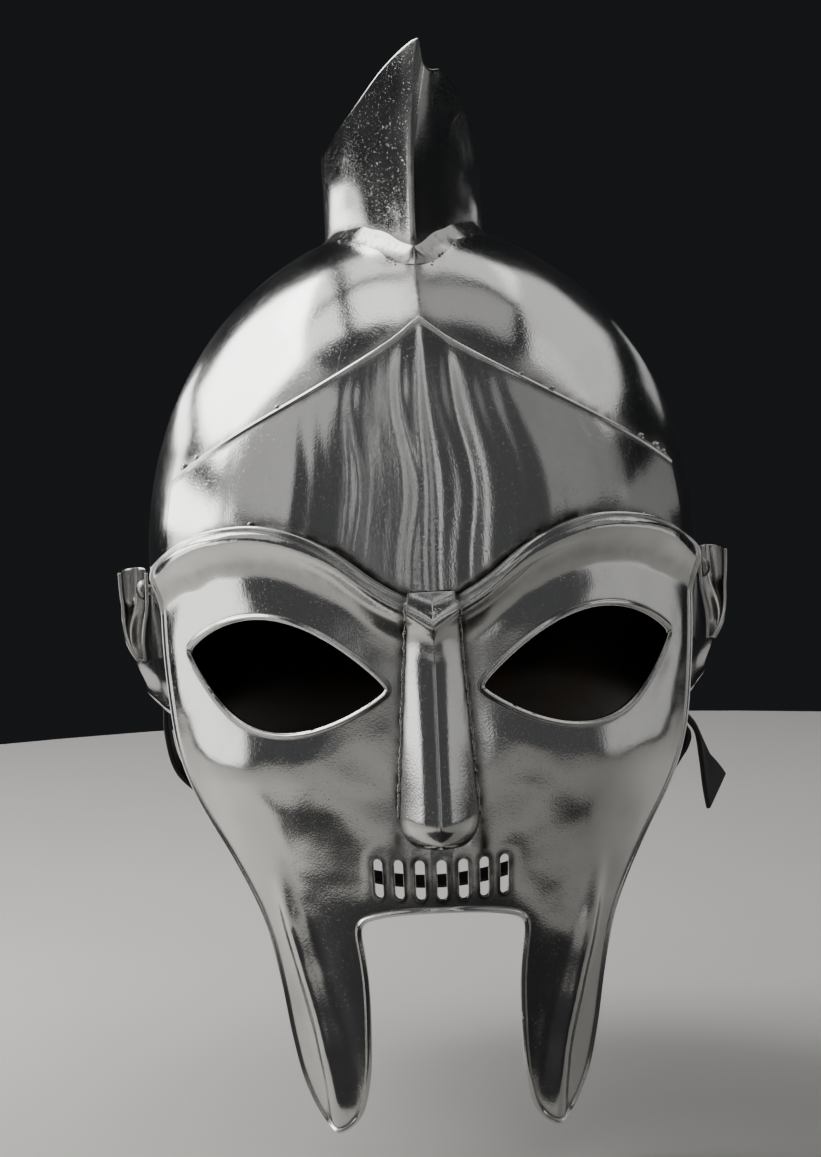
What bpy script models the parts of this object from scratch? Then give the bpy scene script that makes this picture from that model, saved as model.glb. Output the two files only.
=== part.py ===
"""Gladiator helmet: a raised steel skull with a prow crest, a peaked frontlet, and a full face plate
with a nasal, slotted mouth plate and long cheek guards. A leather chin strap hangs inside.

Run with: blender --background --python part.py
Metres, +Z up, the face looks along -Y and the wearer's left side is +X. The origin is on the inside of
the crown, where the top of the head bears.
"""

from bisect import bisect_right
from collections import namedtuple
from math import acos, atan2, copysign, cos, cosh, exp, pi, radians, sin, sqrt

import bmesh
import bpy
from mathutils import Matrix, Vector

# ---------------------------------------------------------------- driving dimensions
SHEET = 0.0012              # steel sheet
GAP = 0.0003                # clearance between neighbouring pieces
LEATHER = 0.002             # strap leather
STRAP_WIDTH = 0.016

DOME_HALF_WIDTH = 0.105     # outside of the skull at its widest section
DOME_FRONT = 0.118
DOME_BACK = 0.120
DOME_DEPTH = 0.124          # from the crown down to the widest section
RIDGE_RISE = 0.0016         # soft ridge along the middle of the skull
RIDGE_REACH = 0.006
CROWN_Z = SHEET - RIDGE_RISE

# The helmet's upright form below the dome. Depth is measured down from the crown.
Section = namedtuple("Section", "depth half_width front back")
SECTIONS = (
    Section(0.124, 0.1050, 0.1180, 0.1200),
    Section(0.150, 0.1050, 0.1176, 0.1190),
    Section(0.178, 0.1036, 0.1168, 0.1140),
    Section(0.200, 0.1012, 0.1156, 0.1110),
    Section(0.222, 0.0980, 0.1142, 0.1100),
    Section(0.260, 0.0920, 0.1110, 0.1100),
    Section(0.330, 0.0840, 0.1035, 0.1100),
)

# Skull sheet
SKULL_SEGMENTS = 48
SKULL_RINGS = 20
FACE_OPENING_SEGMENTS = 8           # each side of the middle: the opening that the face plate closes
FACE_OPENING_RING = 9               # ring of the sheet's front edge
SIDE_RIM = 0.178                    # depth of the rim beside the jaw
NECK_RIM = 0.222                    # depth of the rim at the back
NECK_RIM_TURN = (radians(95), radians(40))      # where the rim starts to drop, and over what angle
NECK_FLARE = 0.020
NECK_FLARE_START = 0.186
NECK_FLARE_LENGTH = 0.045
NECK_FLARE_TURN = (radians(85), radians(65))
# The side wall swells outward below the ear. Each pair is a start and a length, as angles and depths.
JAW_FLARE = 0.0096
JAW_FLARE_GROWS = (radians(78), radians(20))
JAW_FLARE_FADES = (radians(106), radians(36))
JAW_FLARE_TOP = (0.139, 0.022)
JAW_FLARE_FOOT = (0.160, 0.036)

# Frontlet: a low peak over the forehead
PEAK_DEPTH = 0.033
FRONTLET_REACH = 0.1165             # girth from the middle to the side edge
FRONTLET_SIDE_DEPTH = 0.0885
FRONTLET_TUCK = 0.006               # how far it goes under the face plate
FRONTLET_RIDGE_REACH = 0.009
FRONTLET_GRID = (30, 8)

# Face plate outlines: "across" is girth along the helmet from the middle line, "depth" down from the crown
Outline = namedtuple("Outline", "across depth")
BROW = (
    Outline(0.000, 0.1300),
    Outline(0.016, 0.1215),
    Outline(0.034, 0.1090),
    Outline(0.056, 0.1025),
    Outline(0.080, 0.1045),
    Outline(0.100, 0.1110),
    Outline(0.121, 0.1200),
)
CHEEK_EDGE = (
    Outline(0.1210, 0.1150),
    Outline(0.1215, 0.1400),
    Outline(0.1205, 0.1640),
    Outline(0.1160, 0.1850),
    Outline(0.1040, 0.2060),
    Outline(0.0880, 0.2260),
    Outline(0.0768, 0.2460),
    Outline(0.0722, 0.2680),
    Outline(0.0695, 0.2900),
    Outline(0.0645, 0.3090),
    Outline(0.0565, 0.3205),
    Outline(0.0480, 0.3240),
    Outline(0.0400, 0.3190),
    Outline(0.0343, 0.3050),
    Outline(0.0318, 0.2840),
    Outline(0.0312, 0.2620),
    Outline(0.0330, 0.2440),
)
MOUTH_EDGE_DEPTH = 0.2385           # at the middle of the gently arched lower edge
MOUTH_CORNER = Outline(0.0330, 0.2440)
MOUTH_STEPS = 6
CHEEK_STEPS = 3                     # from one listed point to the next
FACE_ROWS_BELOW_BROW = (0.0, 0.003, 0.006, 0.010, 0.015, 0.021)
FACE_ROW_STEP = 0.0085
FACE_COLUMNS = 31
FACE_SPARE = 0.004                  # of the blank beyond its outline
FACE_BOTTOM = 0.330
FACE_LEVEL_DEPTH = 0.112            # the grid's rows follow the brow and turn level further down
FACE_LEVEL_BELOW = 0.130

EYE_INNER = Outline(0.0170, 0.1590)
EYE_OUTER = Outline(0.1010, 0.1500)
EYE_UPPER_RISE = 0.0190
EYE_LOWER_DROP = 0.0205
EYE_ROUNDNESS = 0.85                # under 1 makes the almond fuller towards its corners
EYE_STEPS = 13

SLOT_COUNT = 7
SLOT_PITCH = 0.0078
SLOT_WIDTH = 0.0034
SLOT_TOP = 0.2195
SLOT_BOTTOM = 0.2335
SLOT_END_STEPS = 4
CUTTER_REACH = 0.010                # each side of the blank

# Relief of the face plate, in front of the plain form
BROW_RIDGE = 0.0046
BROW_RIDGE_BELOW = 0.0045
BROW_RIDGE_REACH = 0.0044
BROW_FADE = (0.088, 0.030)          # where the ridge starts to sink towards the sides, and over what girth
BROW_FADE_SHARE = 0.7               # of its height
JOGGLE_START = 0.006                # where the plate steps down off the frontlet
JOGGLE_REACH = 0.014
CHEEKBONE_RISE = 0.0045
CHEEKBONE = Outline(0.078, 0.190)
CHEEKBONE_REACH = Outline(0.030, 0.018)
MOUTH_RISE = 0.0050
MOUTH_MIDDLE = Outline(0.0, 0.232)
MOUTH_REACH = Outline(0.024, 0.026)
MIDRIB_RISE = 0.0034
MIDRIB_REACH = 0.0050
MIDRIB_TOP = Outline(0.0640, 0.2180)
MIDRIB_TIP = Outline(0.0480, 0.3200)
MIDRIB_RUN_IN = 0.030

# Nasal: a hollow keeled bar over the middle of the face plate
NASAL_TOP = 0.1245
NASAL_BOTTOM = 0.2150
NASAL_HALF_WIDTH = (0.0078, 0.0150) # top, bottom
NASAL_HEIGHT = (0.0065, 0.0150)
NASAL_END = 0.012                   # length of the rounded lower end
NASAL_START = 0.012                 # length over which the keel rises at the top
NASAL_START_HEIGHT = 0.25           # of the keel's height, at the very top
NASAL_TIP_WIDTH = 0.35              # of the full width, at the very end
NASAL_KEEL = 1.4                    # over 1 rounds the keel
NASAL_GRID = (8, 15)

# Crest: two plates from the prow edge back along the crown
CREST_FRONT = -0.050
CREST_LENGTH = 0.088
CREST_HALF_WIDTH = {1: 0.028, -1: 0.032}    # on the wearer's left and right
CREST_COLUMNS = 12                  # on each side
CREST_ROWS = 7
CrestStation = namedtuple("CrestStation", "share left_top right_top")
CREST_TOPS = (                      # heights above the crown from the prow edge back
    CrestStation(0.00, 0.0672, 0.0672),
    CrestStation(0.03, 0.0578, 0.0664),
    CrestStation(0.20, 0.0561, 0.0575),
    CrestStation(0.42, 0.0476, 0.0441),
    CrestStation(0.66, 0.0338, 0.0336),
    CrestStation(0.82, 0.0258, 0.0275),
    CrestStation(1.00, 0.0250, 0.0266),
)
PROW_HOLLOW = 0.006                 # how far the prow edge bows back between foot and tip
CREST_TIP_BEND = 0.0045             # the tip leans to the wearer's left
CREST_SWEEP = 1.15                  # over 1 makes the plates bulge at the prow, seen from above
CREST_CURVE = 0.90                  # under 1 makes the prow blunter
FOOT_RISE = 0.6                     # of a sheet, so that the sloping foot clears the skull

# Ears
EAR_TOP = 0.1280
EAR_BOTTOM = 0.1610
EAR_SPREAD = (0.0104, 0.0024)       # top, bottom: between the scoop's two legs
EAR_BACK = (0.0095, 0.0030)
EAR_LEG = (0.0100, 0.0010)
EAR_TAPER = (2.2, 1.5)              # over 1 keeps the spread and the legs long before the point
EAR_FRONT_LEG = 0.6                 # of the leg on the skull
EAR_LEAN = 0.014                    # the point lies this far ahead of the mouth
EAR_LEAN_CURVE = 2.2
EAR_CLEAR = (GAP, 0.0014)           # from the skull, top and bottom
EAR_GRID = (12, 5)
RIVET_DEPTH = 0.1350
RIVET_Y = -0.0040
SHANK_RADIUS = 0.0020
HEAD_RADIUS = 0.0040
HEAD_HEIGHT = 0.0032
HEAD_STEPS = 5
PEEN_HEIGHT = (0.0009, 0.0012)      # of the inner head, at its rim and its middle
RIVET_CUT_LENGTH = 0.012
RIVET_CUT_INSET = 0.001

# Straps
STRAP_END = 0.0080                  # leather above the rivet
STRAP_CLEAR = 0.0008                # between the straps and the inside of the skull
LOOP_HALF_SPAN = 0.0965             # of the hanging loop at the depth of the buckle's lower bar
LOOP_SAG = 0.0480
CATENARY_SHAPE = 1.10
LOOP_STEPS = 10
LOOP_BELOW_BAR = 0.0070             # of straight strap between the loop and the buckle
STRAP_ON_WALL = 0.013               # of strap that lies on the skull below the rivet
STRAP_LEAVES = 0.006                # above the side rim the strap leaves the skull
STRAP_STEPS = 2                     # from one point of a strap's path to the next
BAR_STEPS = 5
SEWN_START = 3                      # of the loop's last points, that the returned end doesn't reach
SEWN_POINTS = 4                     # of them that it is sewn to
BUCKLE_DEPTH = 0.1900
BUCKLE_WIRE = 0.0013
BUCKLE_HALF = (0.0112, 0.0085)      # along the strap's width, along its length
BUCKLE_CORNER = 0.0030
CORNER_STEPS = 3
THROUGH_BUCKLE = 0.42               # of the way out at the buckle's middle
ABOVE_BUCKLE = (0.75, 0.70)         # share of the way in and down from the rivet to the upper bar
FreeStep = namedtuple("FreeStep", "out below")
FREE_END = (                        # the buckle strap's last stretch, from the buckle's lower bar
    FreeStep(0.0000, -0.0015),
    FreeStep(0.0022, 0.0060),
    FreeStep(0.0052, 0.0180),
    FreeStep(0.0078, 0.0300),
)
FREE_END_SLANT = 0.0110             # of the end's oblique cut
FREE_END_TWIST = radians(32)


# ---------------------------------------------------------------- scene and small helpers
def clear_scene():
    for obj in list(bpy.data.objects):
        bpy.data.objects.remove(obj, do_unlink=True)


def collection(name):
    made = bpy.data.collections.new(name)
    bpy.context.scene.collection.children.link(made)
    return made


def material(name, colour, roughness, metallic):
    made = bpy.data.materials.new(name)
    made.use_nodes = True
    shader = made.node_tree.nodes["Principled BSDF"]
    shader.inputs["Base Color"].default_value = (*colour, 1.0)
    shader.inputs["Roughness"].default_value = roughness
    shader.inputs["Metallic"].default_value = metallic
    return made


def add_mesh(name, bm, into, finish=None):
    """Makes an object from a bmesh and frees it."""
    mesh = bpy.data.meshes.new(name)
    bm.to_mesh(mesh)
    bm.free()
    obj = bpy.data.objects.new(name, mesh)
    into.objects.link(obj)
    if finish is not None:
        mesh.materials.append(finish)
        mesh.shade_smooth()
        mesh.set_sharp_from_angle(angle=radians(35))
    return obj


def evaluated_bmesh(obj):
    """The object's shape with its modifiers, in world space, as a bmesh."""
    bpy.context.view_layer.update()
    graph = bpy.context.evaluated_depsgraph_get()
    mesh = bpy.data.meshes.new_from_object(obj.evaluated_get(graph))
    bm = bmesh.new()
    bm.from_mesh(mesh)
    bpy.data.meshes.remove(mesh)
    bmesh.ops.transform(bm, matrix=obj.matrix_world, verts=bm.verts)
    return bm


def add_boolean(obj, cutter, operation="DIFFERENCE"):
    modifier = obj.modifiers.new(cutter.name, "BOOLEAN")
    modifier.operation = operation
    modifier.object = cutter


def thicken(obj, thickness, offset):
    modifier = obj.modifiers.new("thickness", "SOLIDIFY")
    modifier.thickness = thickness
    modifier.offset = offset
    modifier.use_even_offset = True


def mix(a, b, share):
    return a + (b - a) * share


def ease(share):
    """0 to 1 with a smooth start and end."""
    share = min(1.0, max(0.0, share))
    return share * share * (3 - 2 * share)


def bump(distance, reach):
    return exp(-((distance / reach) ** 2))


def along_table(rows, key, column, at, level_start=False):
    """A smooth curve through one column of a table, read at a value of its key column."""
    keys = [getattr(row, key) for row in rows]
    values = [getattr(row, column) for row in rows]
    at = min(max(at, keys[0]), keys[-1])
    slopes = []
    for i in range(len(rows)):
        before, after = max(i - 1, 0), min(i + 1, len(rows) - 1)
        slopes.append((values[after] - values[before]) / (keys[after] - keys[before]))
    if level_start:
        slopes[0] = 0.0
    i = min(max(bisect_right(keys, at) - 1, 0), len(rows) - 2)
    span = keys[i + 1] - keys[i]
    u = (at - keys[i]) / span
    return (
        (2 * u**3 - 3 * u**2 + 1) * values[i]
        + (u**3 - 2 * u**2 + u) * span * slopes[i]
        + (3 * u**2 - 2 * u**3) * values[i + 1]
        + (u**3 - u**2) * span * slopes[i + 1]
    )


def smooth_line(points, steps):
    """Points on a smooth curve through the given ones, with slopes weighted by the spacing."""
    points = [Vector(point) for point in points]
    slopes = []
    for i, point in enumerate(points):
        before = point - points[i - 1] if i > 0 else points[1] - point
        after = points[i + 1] - point if i + 1 < len(points) else before
        near, far = before.length, after.length
        slopes.append((before / near * far + after / far * near) / (near + far))
    made = []
    for i in range(len(points) - 1):
        span = (points[i + 1] - points[i]).length
        for step in range(steps):
            u = step / steps
            keep = (1 + 2 * u) * (1 - u) ** 2
            turn = span * u * (1 - u)
            made.append(
                keep * points[i]
                + (1 - keep) * points[i + 1]
                + turn * (1 - u) * slopes[i]
                - turn * u * slopes[i + 1]
            )
    made.append(points[-1])
    return made


# ---------------------------------------------------------------- the helmet's form
def reaches(depth):
    """Half width, front reach and back reach of the form's level section at a depth."""
    if depth < DOME_DEPTH:
        share = sqrt(max(0.0, 1 - ((DOME_DEPTH - depth) / DOME_DEPTH) ** 2))
        return DOME_HALF_WIDTH * share, DOME_FRONT * share, DOME_BACK * share
    return tuple(
        along_table(SECTIONS, "depth", column, depth, level_start=True)
        for column in ("half_width", "front", "back")
    )


def plain_point(angle, depth):
    """A point of the form. Angle runs from the middle of the face, positive to +X."""
    width, front, back = reaches(depth)
    length = front if cos(angle) > 0 else back
    return Vector((width * sin(angle), -length * cos(angle), CROWN_Z - depth))


def form_point(across, depth, height=0.0):
    """A point at a girth and depth, moved out of the form by a height along its normal."""
    small_turn, small_step = 1e-3, 1e-4
    angle = across / DOME_HALF_WIDTH
    point = plain_point(angle, depth)
    right = plain_point(angle + small_turn, depth) - plain_point(angle - small_turn, depth)
    down = plain_point(angle, depth + small_step) - plain_point(angle, depth - small_step)
    return point + right.cross(down).normalized() * -height


def grid_of(columns, rows):
    """A bmesh grid whose vertices have x and y from 0 to 1."""
    bm = bmesh.new()
    bmesh.ops.create_grid(bm, x_segments=columns, y_segments=rows, size=0.5)
    bmesh.ops.translate(bm, verts=bm.verts, vec=(0.5, 0.5, 0))
    return bm


# ---------------------------------------------------------------- skull
def rim_depth(angle):
    """Depth of the skull's lower rim: level beside the jaw, deeper round the neck."""
    start, reach = NECK_RIM_TURN
    return mix(SIDE_RIM, NECK_RIM, ease((abs(angle) - start) / reach))


def neck_flare(angle, depth):
    start, reach = NECK_FLARE_TURN
    round_neck = ease((abs(angle) - start) / reach)
    return NECK_FLARE * round_neck * ease((depth - NECK_FLARE_START) / NECK_FLARE_LENGTH)


def jaw_flare(angle, depth):
    """How far the side wall swells outward."""
    turn = abs(angle)
    grows = [ease((at - start) / over) for at, (start, over) in (
        (turn, JAW_FLARE_GROWS), (depth, JAW_FLARE_TOP))]
    fades = [1 - ease((at - start) / over) for at, (start, over) in (
        (turn, JAW_FLARE_FADES), (depth, JAW_FLARE_FOOT))]
    return JAW_FLARE * grows[0] * grows[1] * fades[0] * fades[1]


def make_skull(parts, cutters, steel):
    """A sphere moved onto the form, opened for the face and given the sheet's thickness."""
    bm = bmesh.new()
    bmesh.ops.create_uvsphere(bm, u_segments=SKULL_SEGMENTS, v_segments=SKULL_RINGS, radius=1)
    bmesh.ops.delete(bm, geom=[min(bm.verts, key=lambda v: v.co.z)], context="VERTS")
    lowest = pi * (SKULL_RINGS - 1) / SKULL_RINGS
    places = {}
    for v in bm.verts:
        fall = atan2(sqrt(v.co.x**2 + v.co.y**2), v.co.z)
        angle = atan2(v.co.x, -v.co.y)
        if fall <= pi / 2 + 1e-4:
            depth = DOME_DEPTH * (1 - cos(fall))
        else:
            depth = mix(DOME_DEPTH, rim_depth(angle), (fall - pi / 2) / (lowest - pi / 2))
        places[v] = (angle, depth)
    open_angle = 2 * pi * FACE_OPENING_SEGMENTS / SKULL_SEGMENTS
    open_depth = DOME_DEPTH * (1 - cos(pi * FACE_OPENING_RING / SKULL_RINGS))
    opening = [
        f for f in bm.faces
        if all(abs(places[v][0]) < open_angle + 1e-3 and places[v][1] > open_depth - 1e-4 for v in f.verts)
    ]
    for v, (angle, depth) in places.items():
        out = neck_flare(angle, depth)
        point = plain_point(angle, depth) + Vector((sin(angle), -cos(angle), 0)) * out
        rise = RIDGE_RISE * bump(point.x, RIDGE_REACH)
        lean = depth / DOME_DEPTH
        v.co = point + rise * Vector((0, -cos(angle) * min(1.0, lean), max(0.0, 1 - lean)))
        v.co.x += copysign(jaw_flare(angle, depth), angle)
    bmesh.ops.delete(bm, geom=opening, context="FACES")
    skull = add_mesh("skull", bm, parts, steel)
    thicken(skull, SHEET, -1)
    for side in (-1, 1):
        add_boolean(skull, rivet_hole(side, cutters))
    return skull


# ---------------------------------------------------------------- frontlet
def brow_depth(across):
    return along_table(BROW, "across", "depth", abs(across))


def peak_depth(across):
    """Upper edge of the frontlet."""
    return mix(PEAK_DEPTH, FRONTLET_SIDE_DEPTH, abs(across) / FRONTLET_REACH)


def make_frontlet(parts, steel):
    bm = grid_of(*FRONTLET_GRID)
    for v in bm.verts:
        across = mix(-FRONTLET_REACH, FRONTLET_REACH, v.co.x)
        depth = mix(brow_depth(across) + FRONTLET_TUCK, peak_depth(across), v.co.y)
        rise = RIDGE_RISE * bump(across, FRONTLET_RIDGE_REACH)
        v.co = form_point(across, depth, GAP + SHEET + rise)
    bmesh.ops.reverse_faces(bm, faces=bm.faces)
    bmesh.ops.recalc_face_normals(bm, faces=bm.faces)
    frontlet = add_mesh("frontlet", bm, parts, steel)
    thicken(frontlet, SHEET, -1)
    return frontlet


# ---------------------------------------------------------------- face plate
def prism(name, outline, cutters):
    """A closed outline in the blank's plane, extruded through it."""
    curve = bpy.data.curves.new(name, "CURVE")
    curve.dimensions = "2D"
    curve.fill_mode = "BOTH"
    curve.extrude = CUTTER_REACH
    spline = curve.splines.new("POLY")
    spline.use_cyclic_u = True
    spline.points.add(len(outline) - 1)
    for point, (x, y) in zip(spline.points, outline):
        point.co = (x, y, 0, 1)
    flat = bpy.data.objects.new(name + "_curve", curve)
    flat.rotation_euler = (pi / 2, 0, 0)
    cutters.objects.link(flat)
    bm = evaluated_bmesh(flat)
    bmesh.ops.remove_doubles(bm, verts=bm.verts, dist=1e-6)
    bmesh.ops.recalc_face_normals(bm, faces=bm.faces)
    bpy.data.objects.remove(flat)
    made = add_mesh(name, bm, cutters)
    made.hide_render = True
    made.display_type = "WIRE"
    return made


def half_outline():
    """Half of the face plate: from above the brow down the cheek edge and up to the middle of the mouth."""
    above_all = -PEAK_DEPTH
    top = [(0.0, above_all), (CHEEK_EDGE[0].across, above_all)]
    cheek = [(p.x, -p.y) for p in smooth_line(CHEEK_EDGE, CHEEK_STEPS)]
    mouth = []
    for step in range(1, MOUTH_STEPS + 1):
        across = mix(MOUTH_CORNER.across, 0.0, step / MOUTH_STEPS)
        rise = (MOUTH_CORNER.depth - MOUTH_EDGE_DEPTH) * (1 - (across / MOUTH_CORNER.across) ** 2)
        mouth.append((across, -(MOUTH_CORNER.depth - rise)))
    return top + cheek + mouth


def eye_outline(side):
    """An almond between two pointed corners."""
    inner, outer = Vector(EYE_INNER), Vector(EYE_OUTER)
    chord = outer - inner
    upward = Vector((chord.y, -chord.x)).normalized()
    points = []
    for start, end, rise in ((inner, outer, EYE_UPPER_RISE), (outer, inner, -EYE_LOWER_DROP)):
        for step in range(EYE_STEPS):
            share = step / EYE_STEPS
            point = start.lerp(end, share) + upward * rise * sin(pi * share) ** EYE_ROUNDNESS
            points.append((side * point.x, -point.y))
    return points


def slot_outline(across):
    """An upright slot with round ends."""
    radius, points = SLOT_WIDTH / 2, []
    for centre, turn in ((-(SLOT_TOP + radius), 0), (-(SLOT_BOTTOM - radius), pi)):
        for step in range(SLOT_END_STEPS + 1):
            angle = turn + pi * step / SLOT_END_STEPS
            points.append((across + radius * cos(angle), centre + radius * sin(angle)))
    return points


def hill(side, depth, middle, reach):
    """A smooth swelling round a point of the face plate, 1 at its middle."""
    return bump(side - middle.across, reach.across) * bump(depth - middle.depth, reach.depth)


def face_relief(across, depth):
    """Height of the face plate's outer side over the plain form."""
    below = depth - brow_depth(across)
    seat = mix(2 * (GAP + SHEET), GAP, ease((below - JOGGLE_START) / JOGGLE_REACH))
    side = abs(across)
    fade = 1 - BROW_FADE_SHARE * ease((side - BROW_FADE[0]) / BROW_FADE[1])
    brow = BROW_RIDGE * fade * bump(below - BROW_RIDGE_BELOW, BROW_RIDGE_REACH)
    cheekbone = CHEEKBONE_RISE * hill(side, depth, CHEEKBONE, CHEEKBONE_REACH)
    mouth = MOUTH_RISE * hill(side, depth, MOUTH_MIDDLE, MOUTH_REACH)
    share = ease((depth - MIDRIB_TOP.depth) / (MIDRIB_TIP.depth - MIDRIB_TOP.depth))
    rib_line = mix(MIDRIB_TOP.across, MIDRIB_TIP.across, share)
    run_in = ease((depth - MIDRIB_TOP.depth) / MIDRIB_RUN_IN)
    rib = MIDRIB_RISE * bump(side - rib_line, MIDRIB_REACH) * run_in
    return seat + brow + cheekbone + mouth + rib + SHEET


def make_face_plate(parts, cutters, steel):
    """A flat blank is cut to its outline, eyes and slots, and then laid on the form."""
    reach = CHEEK_EDGE[1].across + FACE_SPARE
    rows = list(FACE_ROWS_BELOW_BROW)
    while rows[-1] < FACE_BOTTOM - FACE_LEVEL_DEPTH:
        rows.append(rows[-1] + FACE_ROW_STEP)
    bm = grid_of(FACE_COLUMNS, len(rows) - 1)
    for v in bm.verts:
        across = mix(-reach, reach, v.co.x)
        row = rows[round((1 - v.co.y) * (len(rows) - 1))]
        depth = row + mix(brow_depth(across), FACE_LEVEL_DEPTH, ease(row / FACE_LEVEL_BELOW))
        v.co = Vector((across, 0.0, -depth))
    raised = bmesh.ops.extrude_face_region(bm, geom=bm.faces[:])["geom"]
    outer_side = [item for item in raised if isinstance(item, bmesh.types.BMVert)]
    bmesh.ops.translate(bm, verts=outer_side, vec=(0, -SHEET, 0))
    bmesh.ops.recalc_face_normals(bm, faces=bm.faces)
    blank = add_mesh("face_blank", bm, cutters)
    blank.hide_render = True

    half = half_outline()
    whole = half + [(-x, y) for x, y in reversed(half[1:-1])]
    add_boolean(blank, prism("face_outline", whole, cutters), "INTERSECT")
    for side, name in ((-1, "eye_right_cut"), (1, "eye_left_cut")):
        add_boolean(blank, prism(name, eye_outline(side), cutters))
    for i in range(SLOT_COUNT):
        across = (i - (SLOT_COUNT - 1) / 2) * SLOT_PITCH
        add_boolean(blank, prism(f"slot_cut_{i + 1}", slot_outline(across), cutters))

    bm = evaluated_bmesh(blank)
    for v in bm.verts:
        across, depth = v.co.x, -v.co.z
        outer = v.co.y < -SHEET / 2
        v.co = form_point(across, depth, face_relief(across, depth) - (0 if outer else SHEET))
    bmesh.ops.triangulate(bm, faces=bm.faces)
    bmesh.ops.remove_doubles(bm, verts=bm.verts, dist=2e-5)
    bmesh.ops.recalc_face_normals(bm, faces=bm.faces)
    return add_mesh("face_plate", bm, parts, steel)


# ---------------------------------------------------------------- nasal
def make_nasal(parts, steel):
    bm = grid_of(*NASAL_GRID)
    for v in bm.verts:
        share = 1 - v.co.y
        depth = mix(NASAL_TOP, NASAL_BOTTOM, share)
        to_end = min(1.0, (NASAL_BOTTOM - depth) / NASAL_END)
        round_end = sqrt(max(0.0, 1 - (1 - to_end) ** 2))
        half = mix(*NASAL_HALF_WIDTH, share) * mix(NASAL_TIP_WIDTH, 1.0, round_end)
        edge = 2 * v.co.x - 1
        rising = mix(NASAL_START_HEIGHT, 1.0, ease((depth - NASAL_TOP) / NASAL_START))
        keel = mix(*NASAL_HEIGHT, ease(share)) * (1 - abs(edge) ** NASAL_KEEL) * round_end * rising
        across = edge * half
        v.co = form_point(across, depth, face_relief(across, depth) + GAP + SHEET + keel)
    bmesh.ops.reverse_faces(bm, faces=bm.faces)
    nasal = add_mesh("nasal", bm, parts, steel)
    thicken(nasal, SHEET, -1)
    return nasal


# ---------------------------------------------------------------- crest
def crown_height(x, y):
    """Height of the skull's outside above the crown's own height at a plan point, 0 or less."""
    length = DOME_FRONT if y < 0 else DOME_BACK
    share = min(1.0, (x / DOME_HALF_WIDTH) ** 2 + (y / length) ** 2)
    return DOME_DEPTH * (sqrt(1 - share) - 1) + RIDGE_RISE * bump(x, RIDGE_REACH)


def make_crest(parts, steel):
    """One sheet folded at the prow: columns run from the rear of one plate to the rear of the other."""
    bm = grid_of(2 * CREST_COLUMNS, CREST_ROWS)
    for v in bm.verts:
        run = 2 * v.co.x - 1
        share, side = abs(run), (1 if run > 0 else -1)
        share = share**CREST_SWEEP
        half = CREST_HALF_WIDTH[side] * sin(share * pi / 2) ** CREST_CURVE
        y = CREST_FRONT + CREST_LENGTH * share
        tops = "left_top" if side > 0 else "right_top"
        foot = crown_height(half, y) + GAP + SHEET * FOOT_RISE
        top = along_table(CREST_TOPS, "share", tops, share)
        height = mix(foot, top, v.co.y)
        level = v.co.y
        bow = PROW_HOLLOW * sin(pi * level) * (1 - share) ** 2
        bend = CREST_TIP_BEND * level**3 * (1 - share) ** 2
        v.co = Vector((side * half + bend, y + bow, CROWN_Z + height))
    bmesh.ops.recalc_face_normals(bm, faces=bm.faces)
    crest = add_mesh("crest", bm, parts, steel)
    thicken(crest, SHEET, 0)
    return crest


# ---------------------------------------------------------------- ears
def skull_side(y=RIVET_Y):
    """Outer x of the skull beside the ear."""
    return DOME_HALF_WIDTH * sqrt(1 - (y / DOME_FRONT) ** 2)


def side_wall(y, depth):
    """Outer x of the skull's side wall at a place beside or below the ear."""
    half_width, front, back = reaches(depth)
    length = front if y < 0 else back
    return half_width * sqrt(1 - (y / length) ** 2) + jaw_flare(acos(-y / length), depth)


def side_name(side):
    return "left" if side > 0 else "right"


def rivet_hole(side, cutters):
    """The cutter of a rivet's hole, kept for every piece that the rivet passes through."""
    name = "rivet_cut_" + side_name(side)
    if name in bpy.data.objects:
        return bpy.data.objects[name]
    bm = bmesh.new()
    radius = SHANK_RADIUS + GAP
    bmesh.ops.create_cone(
        bm, cap_ends=True, segments=16, radius1=radius, radius2=radius, depth=RIVET_CUT_LENGTH
    )
    turn = Matrix.Rotation(pi / 2, 4, "Y")
    place = Matrix.Translation((side * (skull_side() - RIVET_CUT_INSET), RIVET_Y, CROWN_Z - RIVET_DEPTH))
    bmesh.ops.transform(bm, matrix=place @ turn, verts=bm.verts)
    cutter = add_mesh(name, bm, cutters)
    cutter.hide_render = True
    cutter.display_type = "WIRE"
    return cutter


def make_ear_guard(side, parts, cutters, steel):
    """A folded scoop, open to the front and top and closing to a point below."""
    bm = grid_of(*EAR_GRID)
    for v in bm.verts:
        share = 1 - v.co.y
        spread = mix(*EAR_SPREAD, share ** EAR_TAPER[0]) / 2
        back = mix(*EAR_BACK, share)
        leg = mix(*EAR_LEG, share ** EAR_TAPER[1])
        run = v.co.x * 4 - 1            # 0 to 2 goes round the fold, the rest is the two legs
        turn = min(max(run, 0.0), 2.0) * pi / 2
        y = back * sin(turn) - EAR_LEAN * share**EAR_LEAN_CURVE
        if run < 0:
            y += leg * run
        if run > 2:
            y -= leg * (run - 2) * EAR_FRONT_LEG
        depth = mix(EAR_TOP, EAR_BOTTOM, share)
        inner_leg = side_wall(y, depth) + mix(*EAR_CLEAR, share**2) + SHEET / 2
        x = inner_leg + spread - spread * cos(turn)
        v.co = Vector((side * x, y, CROWN_Z - depth))
    bmesh.ops.recalc_face_normals(bm, faces=bm.faces)
    guard = add_mesh("ear_guard_" + side_name(side), bm, parts, steel)
    thicken(guard, SHEET, 0)
    add_boolean(guard, rivet_hole(side, cutters))
    return guard


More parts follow.
